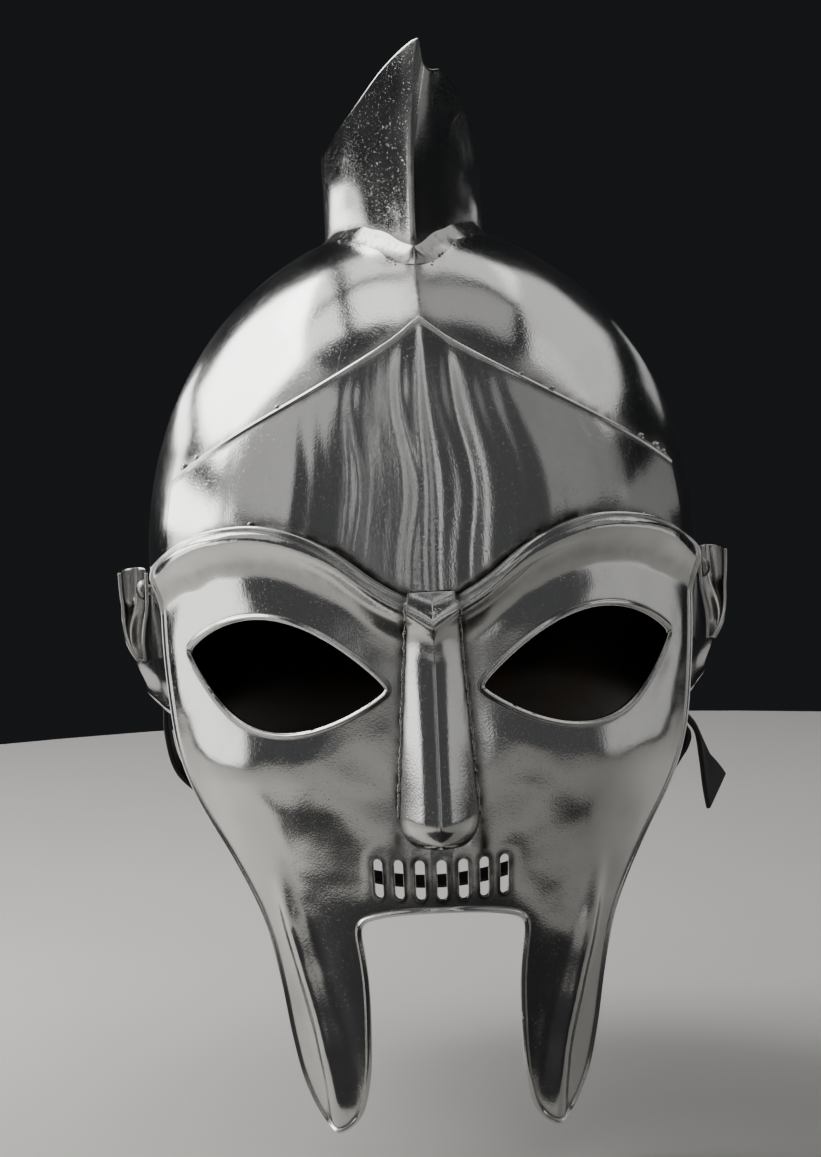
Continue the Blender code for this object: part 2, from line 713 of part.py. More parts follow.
def make_rivet(side, parts, steel):
    """A turned rivet: domed head outside the ear guard, shank, and a flat peened head inside the strap."""
    seat = skull_side() + 2.5 * GAP + SHEET
    inner = skull_side() - SHEET - STRAP_CLEAR - LEATHER - GAP
    grip = seat - inner
    bm = bmesh.new()
    profile = [(0.0, HEAD_HEIGHT)]
    for step in range(1, HEAD_STEPS + 1):
        turn = step / HEAD_STEPS * pi / 2
        profile.append((HEAD_RADIUS * sin(turn), HEAD_HEIGHT * cos(turn)))
    profile += [
        (SHANK_RADIUS, 0.0),
        (SHANK_RADIUS, -grip),
        (HEAD_RADIUS, -grip),
        (HEAD_RADIUS, -grip - PEEN_HEIGHT[0]),
        (0.0, -grip - PEEN_HEIGHT[1]),
    ]
    line = [bm.verts.new((x, 0, z)) for x, z in profile]
    for a, b in zip(line, line[1:]):
        bm.edges.new((a, b))
    rivet = add_mesh("ear_rivet_" + side_name(side), bm, parts, steel)
    screw = rivet.modifiers.new("turned", "SCREW")
    screw.steps = screw.render_steps = 14
    screw.use_merge_vertices = True
    screw.merge_threshold = 0.00005
    screw.use_smooth_shade = True
    rivet.rotation_euler = (0, side * pi / 2, 0)
    rivet.location = (side * seat, RIVET_Y, CROWN_Z - RIVET_DEPTH)
    return rivet


# ---------------------------------------------------------------- straps and buckle
def make_band(name, points, parts, leather, cutter, slant=0.0, twist=0.0):
    """A flat strap whose middle follows a line of (x, depth) points at the rivet's y.

    Its width lies along Y, bowed where it lies against the skull. Its last stretch may twist, and its
    end may be cut at a slant.
    """
    lengths = [0.0]
    for a, b in zip(points, points[1:]):
        lengths.append(lengths[-1] + (b - a).length)
    bm = grid_of(len(points) - 1, 2)
    for v in bm.verts:
        i = round(v.co.x * (len(points) - 1))
        left = lengths[-1] - lengths[i]
        free = 1 - left / (BUCKLE_HALF[1] + FREE_END[-1].below)
        turn = twist * ease(free)
        edge = mix(-STRAP_WIDTH / 2, STRAP_WIDTH / 2, v.co.y)
        x, y = points[i].x + edge * sin(turn), RIVET_Y + edge * cos(turn)
        lift = slant * v.co.y * max(0.0, 2 * free - 1)
        beside_wall = ease((BUCKLE_DEPTH - points[i].y) / (BUCKLE_DEPTH - SIDE_RIM))
        bow = (DOME_HALF_WIDTH - skull_side(y)) * beside_wall
        v.co = Vector((x - bow if x > 0 else x + bow, y, CROWN_Z - points[i].y + lift))
    bmesh.ops.recalc_face_normals(bm, faces=bm.faces)
    band = add_mesh(name, bm, parts, leather)
    thicken(band, LEATHER, 0)
    add_boolean(band, cutter)
    return band


def strap_line(depth):
    """x of a strap's middle where it lies along the inside of the skull."""
    return reaches(depth)[0] - SHEET - STRAP_CLEAR - LEATHER / 2


def wall_run():
    """The stretch of both straps beside the skull, as (x, depth) points."""
    depths = (RIVET_DEPTH - STRAP_END, RIVET_DEPTH, RIVET_DEPTH + STRAP_ON_WALL)
    return [(strap_line(depth), depth) for depth in depths]


def make_chin_strap(parts, cutters, leather):
    """From the right rivet down, under the chin as a hanging loop, and up round the buckle's lower bar.

    The end goes over the bar and comes back along the loop's outer face, where it is sewn down.
    """
    low_bar = BUCKLE_DEPTH + BUCKLE_HALF[1]
    clear = BUCKLE_WIRE + 2 * GAP + LEATHER / 2
    span = LOOP_HALF_SPAN - clear
    scale = span / CATENARY_SHAPE
    steepness = LOOP_SAG / (scale * (cosh(CATENARY_SHAPE) - 1))
    leaving = SIDE_RIM - STRAP_LEAVES
    path = [(-x, depth) for x, depth in wall_run()] + [(-strap_line(leaving), leaving)]
    for step in range(LOOP_STEPS + 1):
        x = mix(-span - clear, span, step / LOOP_STEPS)
        lift = steepness * scale * (cosh(min(abs(x), span) / scale) - 1)
        path.append((x, low_bar + LOOP_BELOW_BAR + LOOP_SAG - lift))
    line = smooth_line(path + [(span, low_bar)], STRAP_STEPS)

    round_bar = []
    for step in range(1, BAR_STEPS + 1):
        turn = pi * step / BAR_STEPS
        round_bar.append((LOOP_HALF_SPAN - clear * cos(turn), low_bar - clear * sin(turn)))
    lap = LEATHER + 2 * GAP
    returned = []
    for i in range(SEWN_START, SEWN_START + SEWN_POINTS):
        point, along = line[-i], line[-i] - line[-i - 1]
        outward = Vector((-along.y, along.x)).normalized()
        returned.append(point + lap * outward)
    bend = smooth_line([line[-1]] + round_bar + returned, STRAP_STEPS)
    return make_band("chin_strap", line + bend[1:], parts, leather, rivet_hole(-1, cutters))


def make_buckle_strap(parts, cutters, leather):
    """From the left rivet behind the buckle's upper bar, and out over its lower bar to the free end."""
    low_bar = BUCKLE_DEPTH + BUCKLE_HALF[1]
    high_bar = BUCKLE_DEPTH - BUCKLE_HALF[1]
    behind = LOOP_HALF_SPAN - BUCKLE_WIRE - 2 * GAP - LEATHER / 2
    outside = LOOP_HALF_SPAN + BUCKLE_WIRE + 6 * GAP + 1.5 * LEATHER
    inward, downward = ABOVE_BUCKLE
    path = wall_run() + [
        (mix(strap_line(RIVET_DEPTH), behind, inward), mix(RIVET_DEPTH, high_bar, downward)),
        (behind, high_bar),
        (mix(behind, outside, THROUGH_BUCKLE), BUCKLE_DEPTH),
    ]
    path += [(outside + point.out, low_bar + point.below) for point in FREE_END]
    line = smooth_line(path, STRAP_STEPS)
    return make_band(
        "buckle_strap", line, parts, leather, rivet_hole(1, cutters), FREE_END_SLANT, FREE_END_TWIST
    )


def make_buckle(parts, steel):
    """A rectangular wire frame in a plane across X."""
    curve = bpy.data.curves.new("buckle", "CURVE")
    curve.dimensions = "3D"
    curve.bevel_depth = BUCKLE_WIRE
    curve.bevel_resolution = 2
    wide, tall = (half - BUCKLE_CORNER for half in BUCKLE_HALF)
    points = []
    for turn, (side, end) in enumerate(((1, 1), (-1, 1), (-1, -1), (1, -1))):
        for step in range(CORNER_STEPS + 1):
            angle = pi / 2 * (turn + step / CORNER_STEPS)
            y, z = BUCKLE_CORNER * cos(angle), BUCKLE_CORNER * sin(angle)
            points.append((side * wide + y, end * tall + z))
    spline = curve.splines.new("POLY")
    spline.use_cyclic_u = True
    spline.points.add(len(points) - 1)
    for point, (y, z) in zip(spline.points, points):
        point.co = (0, y, z, 1)
    curve.materials.append(steel)
    buckle = bpy.data.objects.new("buckle", curve)
    buckle.location = (LOOP_HALF_SPAN, RIVET_Y, CROWN_Z - BUCKLE_DEPTH)
    parts.objects.link(buckle)
    return buckle


# ---------------------------------------------------------------- the whole helmet
def main():
    clear_scene()
    parts = collection("gladiator_helmet")
    cutters = collection("cutters")
    steel = material("polished_steel", (0.62, 0.62, 0.61), 0.16, 1.0)
    leather = material("black_leather", (0.018, 0.017, 0.016), 0.55, 0.0)
    make_skull(parts, cutters, steel)
    make_frontlet(parts, steel)
    make_face_plate(parts, cutters, steel)
    make_nasal(parts, steel)
    make_crest(parts, steel)
    for side in (-1, 1):
        make_ear_guard(side, parts, cutters, steel)
        make_rivet(side, parts, steel)
    make_chin_strap(parts, cutters, leather)
    make_buckle_strap(parts, cutters, leather)
    make_buckle(parts, steel)


main()
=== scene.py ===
"""Looks of the gladiator helmet: buffed steel sheet, solder, leather straps and a plain studio stage.

Every sheet of metal starts as a flat blank in its own measures, gets its thickness and a small bevel there,
and is then laid on the helmet's form. Metres, +Z up, the face looks along -Y and the wearer's left is +X.
"""

from collections import namedtuple
from math import cosh, pi, radians

import bmesh
import bpy
import numpy as np
from mathutils import Matrix, Vector, kdtree, noise


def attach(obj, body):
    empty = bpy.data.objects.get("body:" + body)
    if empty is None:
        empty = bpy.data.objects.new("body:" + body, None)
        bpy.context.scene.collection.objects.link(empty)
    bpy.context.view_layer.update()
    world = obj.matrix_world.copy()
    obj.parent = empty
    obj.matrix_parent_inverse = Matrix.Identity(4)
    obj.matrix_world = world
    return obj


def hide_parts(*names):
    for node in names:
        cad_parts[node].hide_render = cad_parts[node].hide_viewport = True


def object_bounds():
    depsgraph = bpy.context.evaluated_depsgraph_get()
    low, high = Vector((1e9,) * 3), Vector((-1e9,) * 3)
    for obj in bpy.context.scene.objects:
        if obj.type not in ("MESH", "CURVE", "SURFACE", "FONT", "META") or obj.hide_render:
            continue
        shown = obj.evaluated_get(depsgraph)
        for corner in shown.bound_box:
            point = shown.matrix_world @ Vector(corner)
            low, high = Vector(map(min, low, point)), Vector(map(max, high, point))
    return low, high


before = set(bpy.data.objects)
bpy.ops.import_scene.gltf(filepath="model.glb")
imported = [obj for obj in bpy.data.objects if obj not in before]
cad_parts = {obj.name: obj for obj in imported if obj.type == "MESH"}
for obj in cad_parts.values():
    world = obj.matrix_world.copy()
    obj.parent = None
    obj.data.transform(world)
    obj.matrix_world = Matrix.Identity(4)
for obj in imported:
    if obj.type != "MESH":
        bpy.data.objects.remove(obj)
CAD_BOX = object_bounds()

bl_info = {
    "name": "Gladiator Helmet Looks",
    "version": (1, 0, 0),
    "blender": (4, 5, 0),
    "location": "3D View > Sidebar > Helmet",
    "description": "Dresses a gladiator helmet in buffed steel, solder and black leather on a studio stage",
    "category": "Object",
}

# ---------------------------------------------------------------- the helmet's own measures
SHEET = 0.0012
GAP = 0.0003
LEATHER = 0.002
STRAP_WIDTH = 0.016

DOME_HALF_WIDTH = 0.105
DOME_FRONT = 0.118
DOME_BACK = 0.120
DOME_DEPTH = 0.124
RIDGE_RISE = 0.0016
RIDGE_REACH = 0.006
CROWN_Z = SHEET - RIDGE_RISE

Section = namedtuple("Section", "depth half_width front back")
SECTIONS = (
    Section(0.124, 0.1050, 0.1180, 0.1200),
    Section(0.150, 0.1050, 0.1176, 0.1190),
    Section(0.178, 0.1036, 0.1168, 0.1140),
    Section(0.200, 0.1012, 0.1156, 0.1110),
    Section(0.222, 0.0980, 0.1142, 0.1100),
    Section(0.260, 0.0920, 0.1110, 0.1100),
    Section(0.330, 0.0840, 0.1035, 0.1100),
)

OPENING_ANGLE = radians(60)         # each side of the middle: the skull's opening for the face
OPENING_FALL = radians(81)          # from the crown down to the opening's upper edge
SIDE_RIM = 0.178
NECK_RIM = 0.222
NECK_RIM_TURN = (radians(95), radians(40))
NECK_FLARE = 0.020
NECK_FLARE_START = 0.186
NECK_FLARE_LENGTH = 0.045
NECK_FLARE_TURN = (radians(85), radians(65))

JAW_FLARE = 0.0096
JAW_FLARE_GROWS = (radians(78), radians(20))
JAW_FLARE_FADES = (radians(106), radians(36))
JAW_FLARE_TOP = (0.139, 0.022)
JAW_FLARE_FOOT = (0.160, 0.036)

PEAK_DEPTH = 0.033
FRONTLET_REACH = 0.1165
FRONTLET_SIDE_DEPTH = 0.0885
FRONTLET_TUCK = 0.006
FRONTLET_RIDGE_REACH = 0.009

Outline = namedtuple("Outline", "across depth")
BROW = (
    Outline(0.000, 0.1300),
    Outline(0.016, 0.1215),
    Outline(0.034, 0.1090),
    Outline(0.056, 0.1025),
    Outline(0.080, 0.1045),
    Outline(0.100, 0.1110),
    Outline(0.121, 0.1200),
)
MOUTH_CORNER = Outline(0.0330, 0.2440)
CHEEK_EDGE = (
    Outline(0.1210, 0.1150),
    Outline(0.1215, 0.1400),
    Outline(0.1205, 0.1640),
    Outline(0.1160, 0.1850),
    Outline(0.1040, 0.2060),
    Outline(0.0880, 0.2260),
    Outline(0.0768, 0.2460),
    Outline(0.0722, 0.2680),
    Outline(0.0695, 0.2900),
    Outline(0.0645, 0.3090),
    Outline(0.0565, 0.3205),
    Outline(0.0480, 0.3240),
    Outline(0.0400, 0.3190),
    Outline(0.0343, 0.3050),
    Outline(0.0318, 0.2840),
    Outline(0.0312, 0.2620),
    MOUTH_CORNER,
)
MOUTH_EDGE_DEPTH = 0.2385
EYE_INNER = Outline(0.0170, 0.1590)
EYE_OUTER = Outline(0.1010, 0.1500)
EYE_UPPER_RISE = 0.0190
EYE_LOWER_DROP = 0.0205
EYE_ROUNDNESS = 0.85
SLOT_COUNT = 7
SLOT_PITCH = 0.0078
SLOT_WIDTH = 0.0034
SLOT_TOP = 0.2195
SLOT_BOTTOM = 0.2335

BROW_RIDGE = 0.0046
BROW_RIDGE_BELOW = 0.0045
BROW_RIDGE_REACH = 0.0044
BROW_FADE = (0.088, 0.030)
BROW_FADE_SHARE = 0.7
JOGGLE_START = 0.006
JOGGLE_REACH = 0.014
CHEEKBONE_RISE = 0.0045
CHEEKBONE = Outline(0.078, 0.190)
CHEEKBONE_REACH = Outline(0.030, 0.018)
MOUTH_RISE = 0.0050
MOUTH_DEPTH = 0.232
MOUTH_REACH = Outline(0.024, 0.026)
MIDRIB_RISE = 0.0034
MIDRIB_REACH = 0.0050
MIDRIB_TOP = Outline(0.0640, 0.2180)
MIDRIB_TIP = Outline(0.0480, 0.3200)
MIDRIB_RUN_IN = 0.030

NASAL_TOP = 0.1245
NASAL_BOTTOM = 0.2150
NASAL_HALF_WIDTH = (0.0078, 0.0150)
NASAL_HEIGHT = (0.0065, 0.0150)
NASAL_END = 0.012
NASAL_START = 0.022
NASAL_TIP_WIDTH = 0.35
NASAL_KEEL = 1.4
NASAL_BLANK = 0.0125                # half width of the flat blank

CREST_FRONT = -0.050
CREST_LENGTH = 0.088
CREST_BLANK_HEIGHT = 0.050
CREST_HALF_WIDTH_LEFT = 0.028
CREST_HALF_WIDTH_RIGHT = 0.032
CrestStation = namedtuple("CrestStation", "share left_top right_top")
CREST_TOPS = (
    CrestStation(0.00, 0.0672, 0.0672),
    CrestStation(0.03, 0.0578, 0.0664),
    CrestStation(0.20, 0.0561, 0.0575),
    CrestStation(0.42, 0.0476, 0.0441),
    CrestStation(0.66, 0.0338, 0.0336),
    CrestStation(0.82, 0.0258, 0.0275),
    CrestStation(1.00, 0.0250, 0.0266),
)
PROW_HOLLOW = 0.006
CREST_TIP_BEND = 0.0045
CREST_SWEEP = 1.15
CREST_CURVE = 0.90
FOOT_RISE = 0.6

EAR_TOP = 0.1280
EAR_BOTTOM = 0.1610
EAR_SPREAD = (0.0104, 0.0024)
EAR_BACK = (0.0095, 0.0030)
EAR_LEG = (0.0100, 0.0010)
EAR_TAPER = (2.2, 1.5)
EAR_FRONT_LEG = 0.6
EAR_LEAN = 0.014
EAR_LEAN_CURVE = 2.2
EAR_CLEAR = (GAP, 0.0014)
EAR_BLANK = 0.020                   # half girth of the flat blank
RIVET_DEPTH = 0.1350
RIVET_Y = -0.0040
SHANK_RADIUS = 0.0020
HEAD_RADIUS = 0.0040
HEAD_HEIGHT = 0.0032
PEEN_HEIGHT = (0.0009, 0.0012)

STRAP_END = 0.0080
STRAP_CLEAR = 0.0008
STRAP_ON_WALL = 0.013
STRAP_LEAVES = 0.006
STRAP_STEPS = 2
LOOP_HALF_SPAN = 0.0965
LOOP_SAG = 0.0480
CATENARY_SHAPE = 1.10
LOOP_STEPS = 10
LOOP_BELOW_BAR = 0.0070
BAR_STEPS = 5
SEWN_START = 3
SEWN_POINTS = 4
BUCKLE_DEPTH = 0.1900
BUCKLE_WIRE = 0.0013
BUCKLE_HALF = (0.0112, 0.0085)
BUCKLE_CORNER = 0.0030
THROUGH_BUCKLE = 0.42
ABOVE_BUCKLE = (0.75, 0.70)
FreeStep = namedtuple("FreeStep", "out below")
FREE_END = (
    FreeStep(0.0000, -0.0015),
    FreeStep(0.0022, 0.0060),
    FreeStep(0.0052, 0.0180),
    FreeStep(0.0078, 0.0300),
)
FREE_END_SLANT = 0.0110
FREE_END_TWIST = radians(32)


# ---------------------------------------------------------------- settings that a user would change
def linear(hex_colour):
    """An sRGB hex colour as linear red, green and blue."""
    values = [int(hex_colour[i:i + 2], 16) / 255 for i in (1, 3, 5)]
    return tuple(v / 12.92 if v <= 0.04045 else ((v + 0.055) / 1.055) ** 2.4 for v in values)


class HelmetSizes(bpy.types.PropertyGroup):
    bead_width: bpy.props.FloatProperty(
        name="Border Width", description="Width of the raised border round the face plate and its eyes",
        default=0.0024, unit="LENGTH")
    bead_rise: bpy.props.FloatProperty(
        name="Border Rise", description="Height of the raised border", default=0.0010, unit="LENGTH")
    edge_bevel: bpy.props.FloatProperty(
        name="Filed Edge", description="Width of the bevel filed on every cut edge",
        default=0.0003, unit="LENGTH")
    dent_depth: bpy.props.FloatProperty(
        name="Dent Depth", description="Depth of the soft dents that raising leaves in the skull",
        default=0.0009, unit="LENGTH")
    solder_radius: bpy.props.FloatProperty(
        name="Solder Radius", description="Radius that the runs of solder in the seams are shares of",
        default=0.0015, unit="LENGTH")


class HelmetColours(bpy.types.PropertyGroup):
    steel: bpy.props.FloatVectorProperty(
        name="Steel", description="Buffed steel", subtype="COLOR", default=linear("#D4D3D0"))
    # this colour also darkens the band of painted shade under the face plate's brow ridge
    patina: bpy.props.FloatVectorProperty(
        name="Patina", description="Old polish and oxide in the creases", subtype="COLOR",
        default=linear("#4A4640"))
    # painted shade: the inside is near black, darker than bare mill scale, so that the openings show dark
    inside: bpy.props.FloatVectorProperty(
        name="Inside", description="Unpolished inner side of the sheets", subtype="COLOR",
        default=linear("#1F1D1B"))
    solder: bpy.props.FloatVectorProperty(
        name="Solder", description="Soft solder", subtype="COLOR", default=linear("#A9A8A4"))
    leather: bpy.props.FloatVectorProperty(
        name="Leather", description="Black dyed leather", subtype="COLOR", default=linear("#1B1918"))
    # a lighter brown on the straps' cut edges and ends
    leather_edge: bpy.props.FloatVectorProperty(
        name="Leather Edge", description="Rubbed cut edge of the straps", subtype="COLOR",
        default=linear("#57493C"))
    thread: bpy.props.FloatVectorProperty(
        name="Thread", description="Waxed linen thread", subtype="COLOR", default=linear("#3A342C"))


class HelmetStage(bpy.types.PropertyGroup):
    floor: bpy.props.FloatVectorProperty(
        name="Floor", description="Pale floor", subtype="COLOR", default=linear("#C9C7C3"))
    front_wall: bpy.props.FloatVectorProperty(
        name="Front Wall", description="Dim grey of the studio in front of the face", subtype="COLOR",
        default=linear("#4C4D4F"))
    back_wall: bpy.props.FloatVectorProperty(
        name="Back Wall", description="Near black of the studio behind the helmet", subtype="COLOR",
        default=linear("#1A1B1D"))
    key: bpy.props.FloatProperty(
        name="Key", description="Brightness of the large softbox on the wearer's right", default=6.6)
    ceiling: bpy.props.FloatProperty(
        name="Ceiling", description="Brightness of the softboxes overhead", default=1.9)
    fill: bpy.props.FloatProperty(
        name="Fill", description="Brightness of the softbox on the wearer's left", default=0.8)
    strips: bpy.props.FloatProperty(
        name="Strips", description="Brightness of the narrow softboxes above the camera", default=1.0)


# ---------------------------------------------------------------- small helpers
SHARP_ANGLE = radians(50)           # shading breaks where two faces meet at more than this
CUT_ANGLE = 1.0                     # radians over which an edge counts as cut, and is bevelled
MERGE_GAP = 2e-6
TINY = 1e-12
NOISE_GAIN = 1.6                    # brings the noise to about -1 to 1
SEED_SHIFT = Vector((3.1, 5.7, 1.3))

# Old polish and oxide in a corner, and a painted shade under the face plate's brow ridge: how far it reaches,
# and how dark it is.
GrimeAndShade = namedtuple("GrimeAndShade", "reach strength")


def mix(a, b, share):
    return a + (b - a) * share


def ease(share):
    """0 to 1 with a smooth start and end."""
    share = np.clip(share, 0.0, 1.0)
    return share * share * (3 - 2 * share)


def bump(distance, reach):
    return np.exp(-((distance / reach) ** 2))


def bead(distance, width):
    """A round bead, 0 at its edges and 1 at its middle, at distances from one edge."""
    return 0.5 - 0.5 * np.cos(2 * pi * np.clip(distance / width, 0, 1))


def grime_and_shade(distance, kind):
    """How dark one kind of band is at distances from its corner: old polish and oxide, and once a painted
    shade under the brow's ridge.
    """
    return kind.strength * bump(distance, kind.reach)


def all_grime_and_shade(*kinds):
    return np.clip(sum(kinds), 0, 1)


def stack(*columns):
    return np.stack(np.broadcast_arrays(*columns), axis=-1)


def along_table(rows, column, at, level_start=False):
    """A smooth curve through one column of a table, read at values of its first column."""
    keys = np.array([row[0] for row in rows])
    values = np.array([getattr(row, column) for row in rows])
    at = np.clip(at, keys[0], keys[-1])
    order = np.arange(len(keys))
    before, after = np.maximum(order - 1, 0), np.minimum(order + 1, len(keys) - 1)
    slopes = (values[after] - values[before]) / (keys[after] - keys[before])
    if level_start:
        slopes[0] = 0.0
    i = np.clip(np.searchsorted(keys, at, side="right") - 1, 0, len(keys) - 2)
    span = keys[i + 1] - keys[i]
    u = (at - keys[i]) / span
    return (
        (2 * u**3 - 3 * u**2 + 1) * values[i]
        + (u**3 - 2 * u**2 + u) * span * slopes[i]
        + (3 * u**2 - 2 * u**3) * values[i + 1]
        + (u**3 - u**2) * span * slopes[i + 1]
    )


def smooth_line(points, steps):
    """Points on a smooth curve through the given ones, with slopes weighted by the spacing."""
    points = [Vector(point) for point in points]
    slopes = []
    for i, point in enumerate(points):
        before = point - points[i - 1] if i > 0 else points[1] - point
        after = points[i + 1] - point if i + 1 < len(points) else before
        near, far = before.length, after.length
        slopes.append((before / near * far + after / far * near) / (near + far))
    made = []
    for i in range(len(points) - 1):
        span = (points[i + 1] - points[i]).length
        for step in range(steps):
            u = step / steps
            keep = (1 + 2 * u) * (1 - u) ** 2
            turn = span * u * (1 - u)
            made.append(
                keep * points[i]
                + (1 - keep) * points[i + 1]
                + turn * (1 - u) * slopes[i]
                - turn * u * slopes[i + 1]
            )
    made.append(points[-1])
    return made


def waviness(points, wavelength, seed=0):
    """Smooth noise from about -1 to 1 at each point."""
    shift = SEED_SHIFT * seed
    return np.array([noise.noise(Vector(point) / wavelength + shift) for point in points]) * NOISE_GAIN


def dent_field(points, kinds, seed):
    """Soft dents and bulges at each point. A kind is how long they are and how deep."""
    return sum(waviness(points, size, seed + i) * deep for i, (size, deep) in enumerate(kinds))


def flat_dents(u, v, kinds, seed):
    """The same on a flat blank, alike on both of its sides."""
    return dent_field(stack(u, v, 0 * u), kinds, seed)


def coordinates(bm):
    return np.array([v.co for v in bm.verts])


def place(bm, points):
    for v, point in zip(bm.verts, points):
        v.co = point


def cross_unit(a, b):
    """The unit vectors across two sets of vectors."""
    made = np.cross(a, b)
    return made / np.maximum(np.linalg.norm(made, axis=-1, keepdims=True), TINY)


def tree_of(points):
    """A search tree of points in space."""
    tree = kdtree.KDTree(len(points))
    for i, point in enumerate(points):
        tree.insert(point, i)
    tree.balance()
    return tree


def grid_of(columns, rows):
    """A bmesh grid whose vertices have x and y from 0 to 1."""
    bm = bmesh.new()
    bmesh.ops.create_grid(bm, x_segments=columns, y_segments=rows, size=0.5)
    bmesh.ops.translate(bm, verts=bm.verts, vec=(0.5, 0.5, 0))
    return bm


def close_up(bm):
    """Merges seams and poles and turns the faces outwards."""
    bmesh.ops.remove_doubles(bm, verts=bm.verts, dist=MERGE_GAP)
    bmesh.ops.recalc_face_normals(bm, faces=bm.faces)


def object_of(name, bm, materials):
    """Puts a bmesh into the scene as an object and frees the bmesh."""
    mesh = bpy.data.meshes.new(name)
    bm.to_mesh(mesh)
    bm.free()
    for material in materials:
        mesh.materials.append(material)
    made = bpy.data.objects.new(name, mesh)
    bpy.context.scene.collection.objects.link(made)
    return made


def side_name(side):
    return "left" if side > 0 else "right"


def add_piece(name, bm, materials, replaced=(), masks=None, sheet=None):
    """Makes a piece from a bmesh. Masks are values for each vertex; sheet is the flat place of each one."""
    bmesh.ops.recalc_face_normals(bm, faces=bm.faces)
    if bm.calc_volume(signed=True) < 0:
        bmesh.ops.reverse_faces(bm, faces=bm.faces)
    piece = object_of(name, bm, materials)
    mesh = piece.data
    mesh.shade_smooth()
    mesh.set_sharp_from_angle(angle=SHARP_ANGLE)
    for key, values in (masks or {}).items():
        mesh.attributes.new(key, "FLOAT", "POINT").data.foreach_set("value", np.asarray(values, np.float32))
    if sheet is not None:
        corners = np.empty(len(mesh.loops), np.int32)
        mesh.loops.foreach_get("vertex_index", corners)
        layer = mesh.uv_layers.new(name="sheet")
        layer.data.foreach_set("uv", np.asarray(sheet, np.float32)[corners].ravel())
    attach(piece, "root")
    if replaced:
        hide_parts(*replaced)
    return piece


# ---------------------------------------------------------------- from flat blank to formed sheet
LAY_STEP = 2e-4                     # over which a surface's direction is read


def finish_wall(bm, lower, bevel, segments=2):
    """Gives a new wall's lower side the second material, and bevels its cut edges."""
    for face in bm.faces:
        face.material_index = 1 if all(v in lower for v in face.verts) else 0
    bmesh.ops.recalc_face_normals(bm, faces=bm.faces)
    sharp = [e for e in bm.edges if e.calc_face_angle(0.0) > CUT_ANGLE]
    bmesh.ops.bevel(
        bm, geom=sharp, offset=bevel, offset_type="OFFSET", segments=segments,
        profile=0.5, affect="EDGES", material=-1,
    )


def make_slab(bm, low, high, bevel, segments=2):
    """Gives a flat blank its thickness, between two heights, and bevels its cut edges.

    The lower side takes the second material.
    """
    bmesh.ops.recalc_face_normals(bm, faces=bm.faces)
    for face in bm.faces:
        face.material_index = 1
    lower = set(bm.verts)
    bmesh.ops.extrude_face_region(bm, geom=bm.faces[:])
    for v in bm.verts:
        v.co.z = low if v in lower else high
    finish_wall(bm, lower, bevel, segments)


def lay(bm, surface, step=LAY_STEP, raised=None):
    """Lays a slab on a surface. Its x and y are the surface's own measures, and z is the height over it.

    Returns the flat places, for masks and the sheet's UV map.
    """
    flat = coordinates(bm)
    u, v, w = flat.T
    right = surface(u + step, v) - surface(u - step, v)
    up = surface(u, v + step) - surface(u, v - step)
    height = w if raised is None else w + raised(u, v, w)
    place(bm, surface(u, v) + cross_unit(right, up) * height[:, None])
    return flat


# ---------------------------------------------------------------- the helmet's form
SMALL_TURN = 1e-3                   # radians, for the form's slope to the side
SMALL_STEP = 1e-4                   # for its slope downward
NORMAL_STEP = 0.001                 # between two heights that give the direction out of the form


def reaches(depth):
    """Half width, front reach and back reach of the form's level section at a depth."""
    depth = np.asarray(depth, float)
    fall = np.maximum((DOME_DEPTH - depth) / DOME_DEPTH, 0.0)
    dome = np.sqrt(np.clip(1 - fall**2, 0.0, None))
    return [dome * along_table(SECTIONS, column, depth, True) for column in ("half_width", "front", "back")]


def plain_point(angle, depth):
    """Points of the form. Angle runs from the middle of the face, positive to +X."""
    width, front, back = reaches(depth)
    length = np.where(np.cos(angle) > 0, front, back)
    return stack(width * np.sin(angle), -length * np.cos(angle), CROWN_Z - depth)


def form_point(across, depth, height):
    """Points at a girth and depth, moved out of the form by a height along its normal."""
    angle = across / DOME_HALF_WIDTH
    right = plain_point(angle + SMALL_TURN, depth) - plain_point(angle - SMALL_TURN, depth)
    up = plain_point(angle, depth - SMALL_STEP) - plain_point(angle, depth + SMALL_STEP)
    return plain_point(angle, depth) + cross_unit(right, up) * np.asarray(height)[..., None]


def skull_side(y=RIVET_Y):
    """Outer x of the skull beside the ear."""
    return DOME_HALF_WIDTH * np.sqrt(1 - (y / DOME_FRONT) ** 2)


def side_wall(y, depth):
    """Outer x of the skull's side wall at a place beside or below the ear."""
    half_width, front, back = reaches(depth)
    share = np.clip(y / np.where(y < 0, front, back), -1, 1)
    return half_width * np.sqrt(1 - share**2) + jaw_flare(np.arccos(-share), depth)


def crown_height(x, y):
    """Height of the skull's outside above the crown's own height at a plan point, 0 or less."""
    length = np.where(y < 0, DOME_FRONT, DOME_BACK)
    share = np.minimum(1.0, (x / DOME_HALF_WIDTH) ** 2 + (y / length) ** 2)
    return DOME_DEPTH * (np.sqrt(1 - share) - 1) + RIDGE_RISE * bump(x, RIDGE_REACH)


# ---------------------------------------------------------------- skull
SKULL_COLUMNS = 240                 # 1.5 degrees each
DOME_ROWS = 60
SIDE_ROWS = 44
RIM_ROWS = 9                        # of them in the rolled rim
RIM_ROLL = 0.0042
RIM_RISE = 0.0009
RIM_CALM = 0.012                    # over which the dents fade out towards the rim
OPENING_SPARE = 1e-3                # radians, so that rounding leaves no column in the opening
POLE_GAP = 4e-5                     # closes the crown and the seam at the back
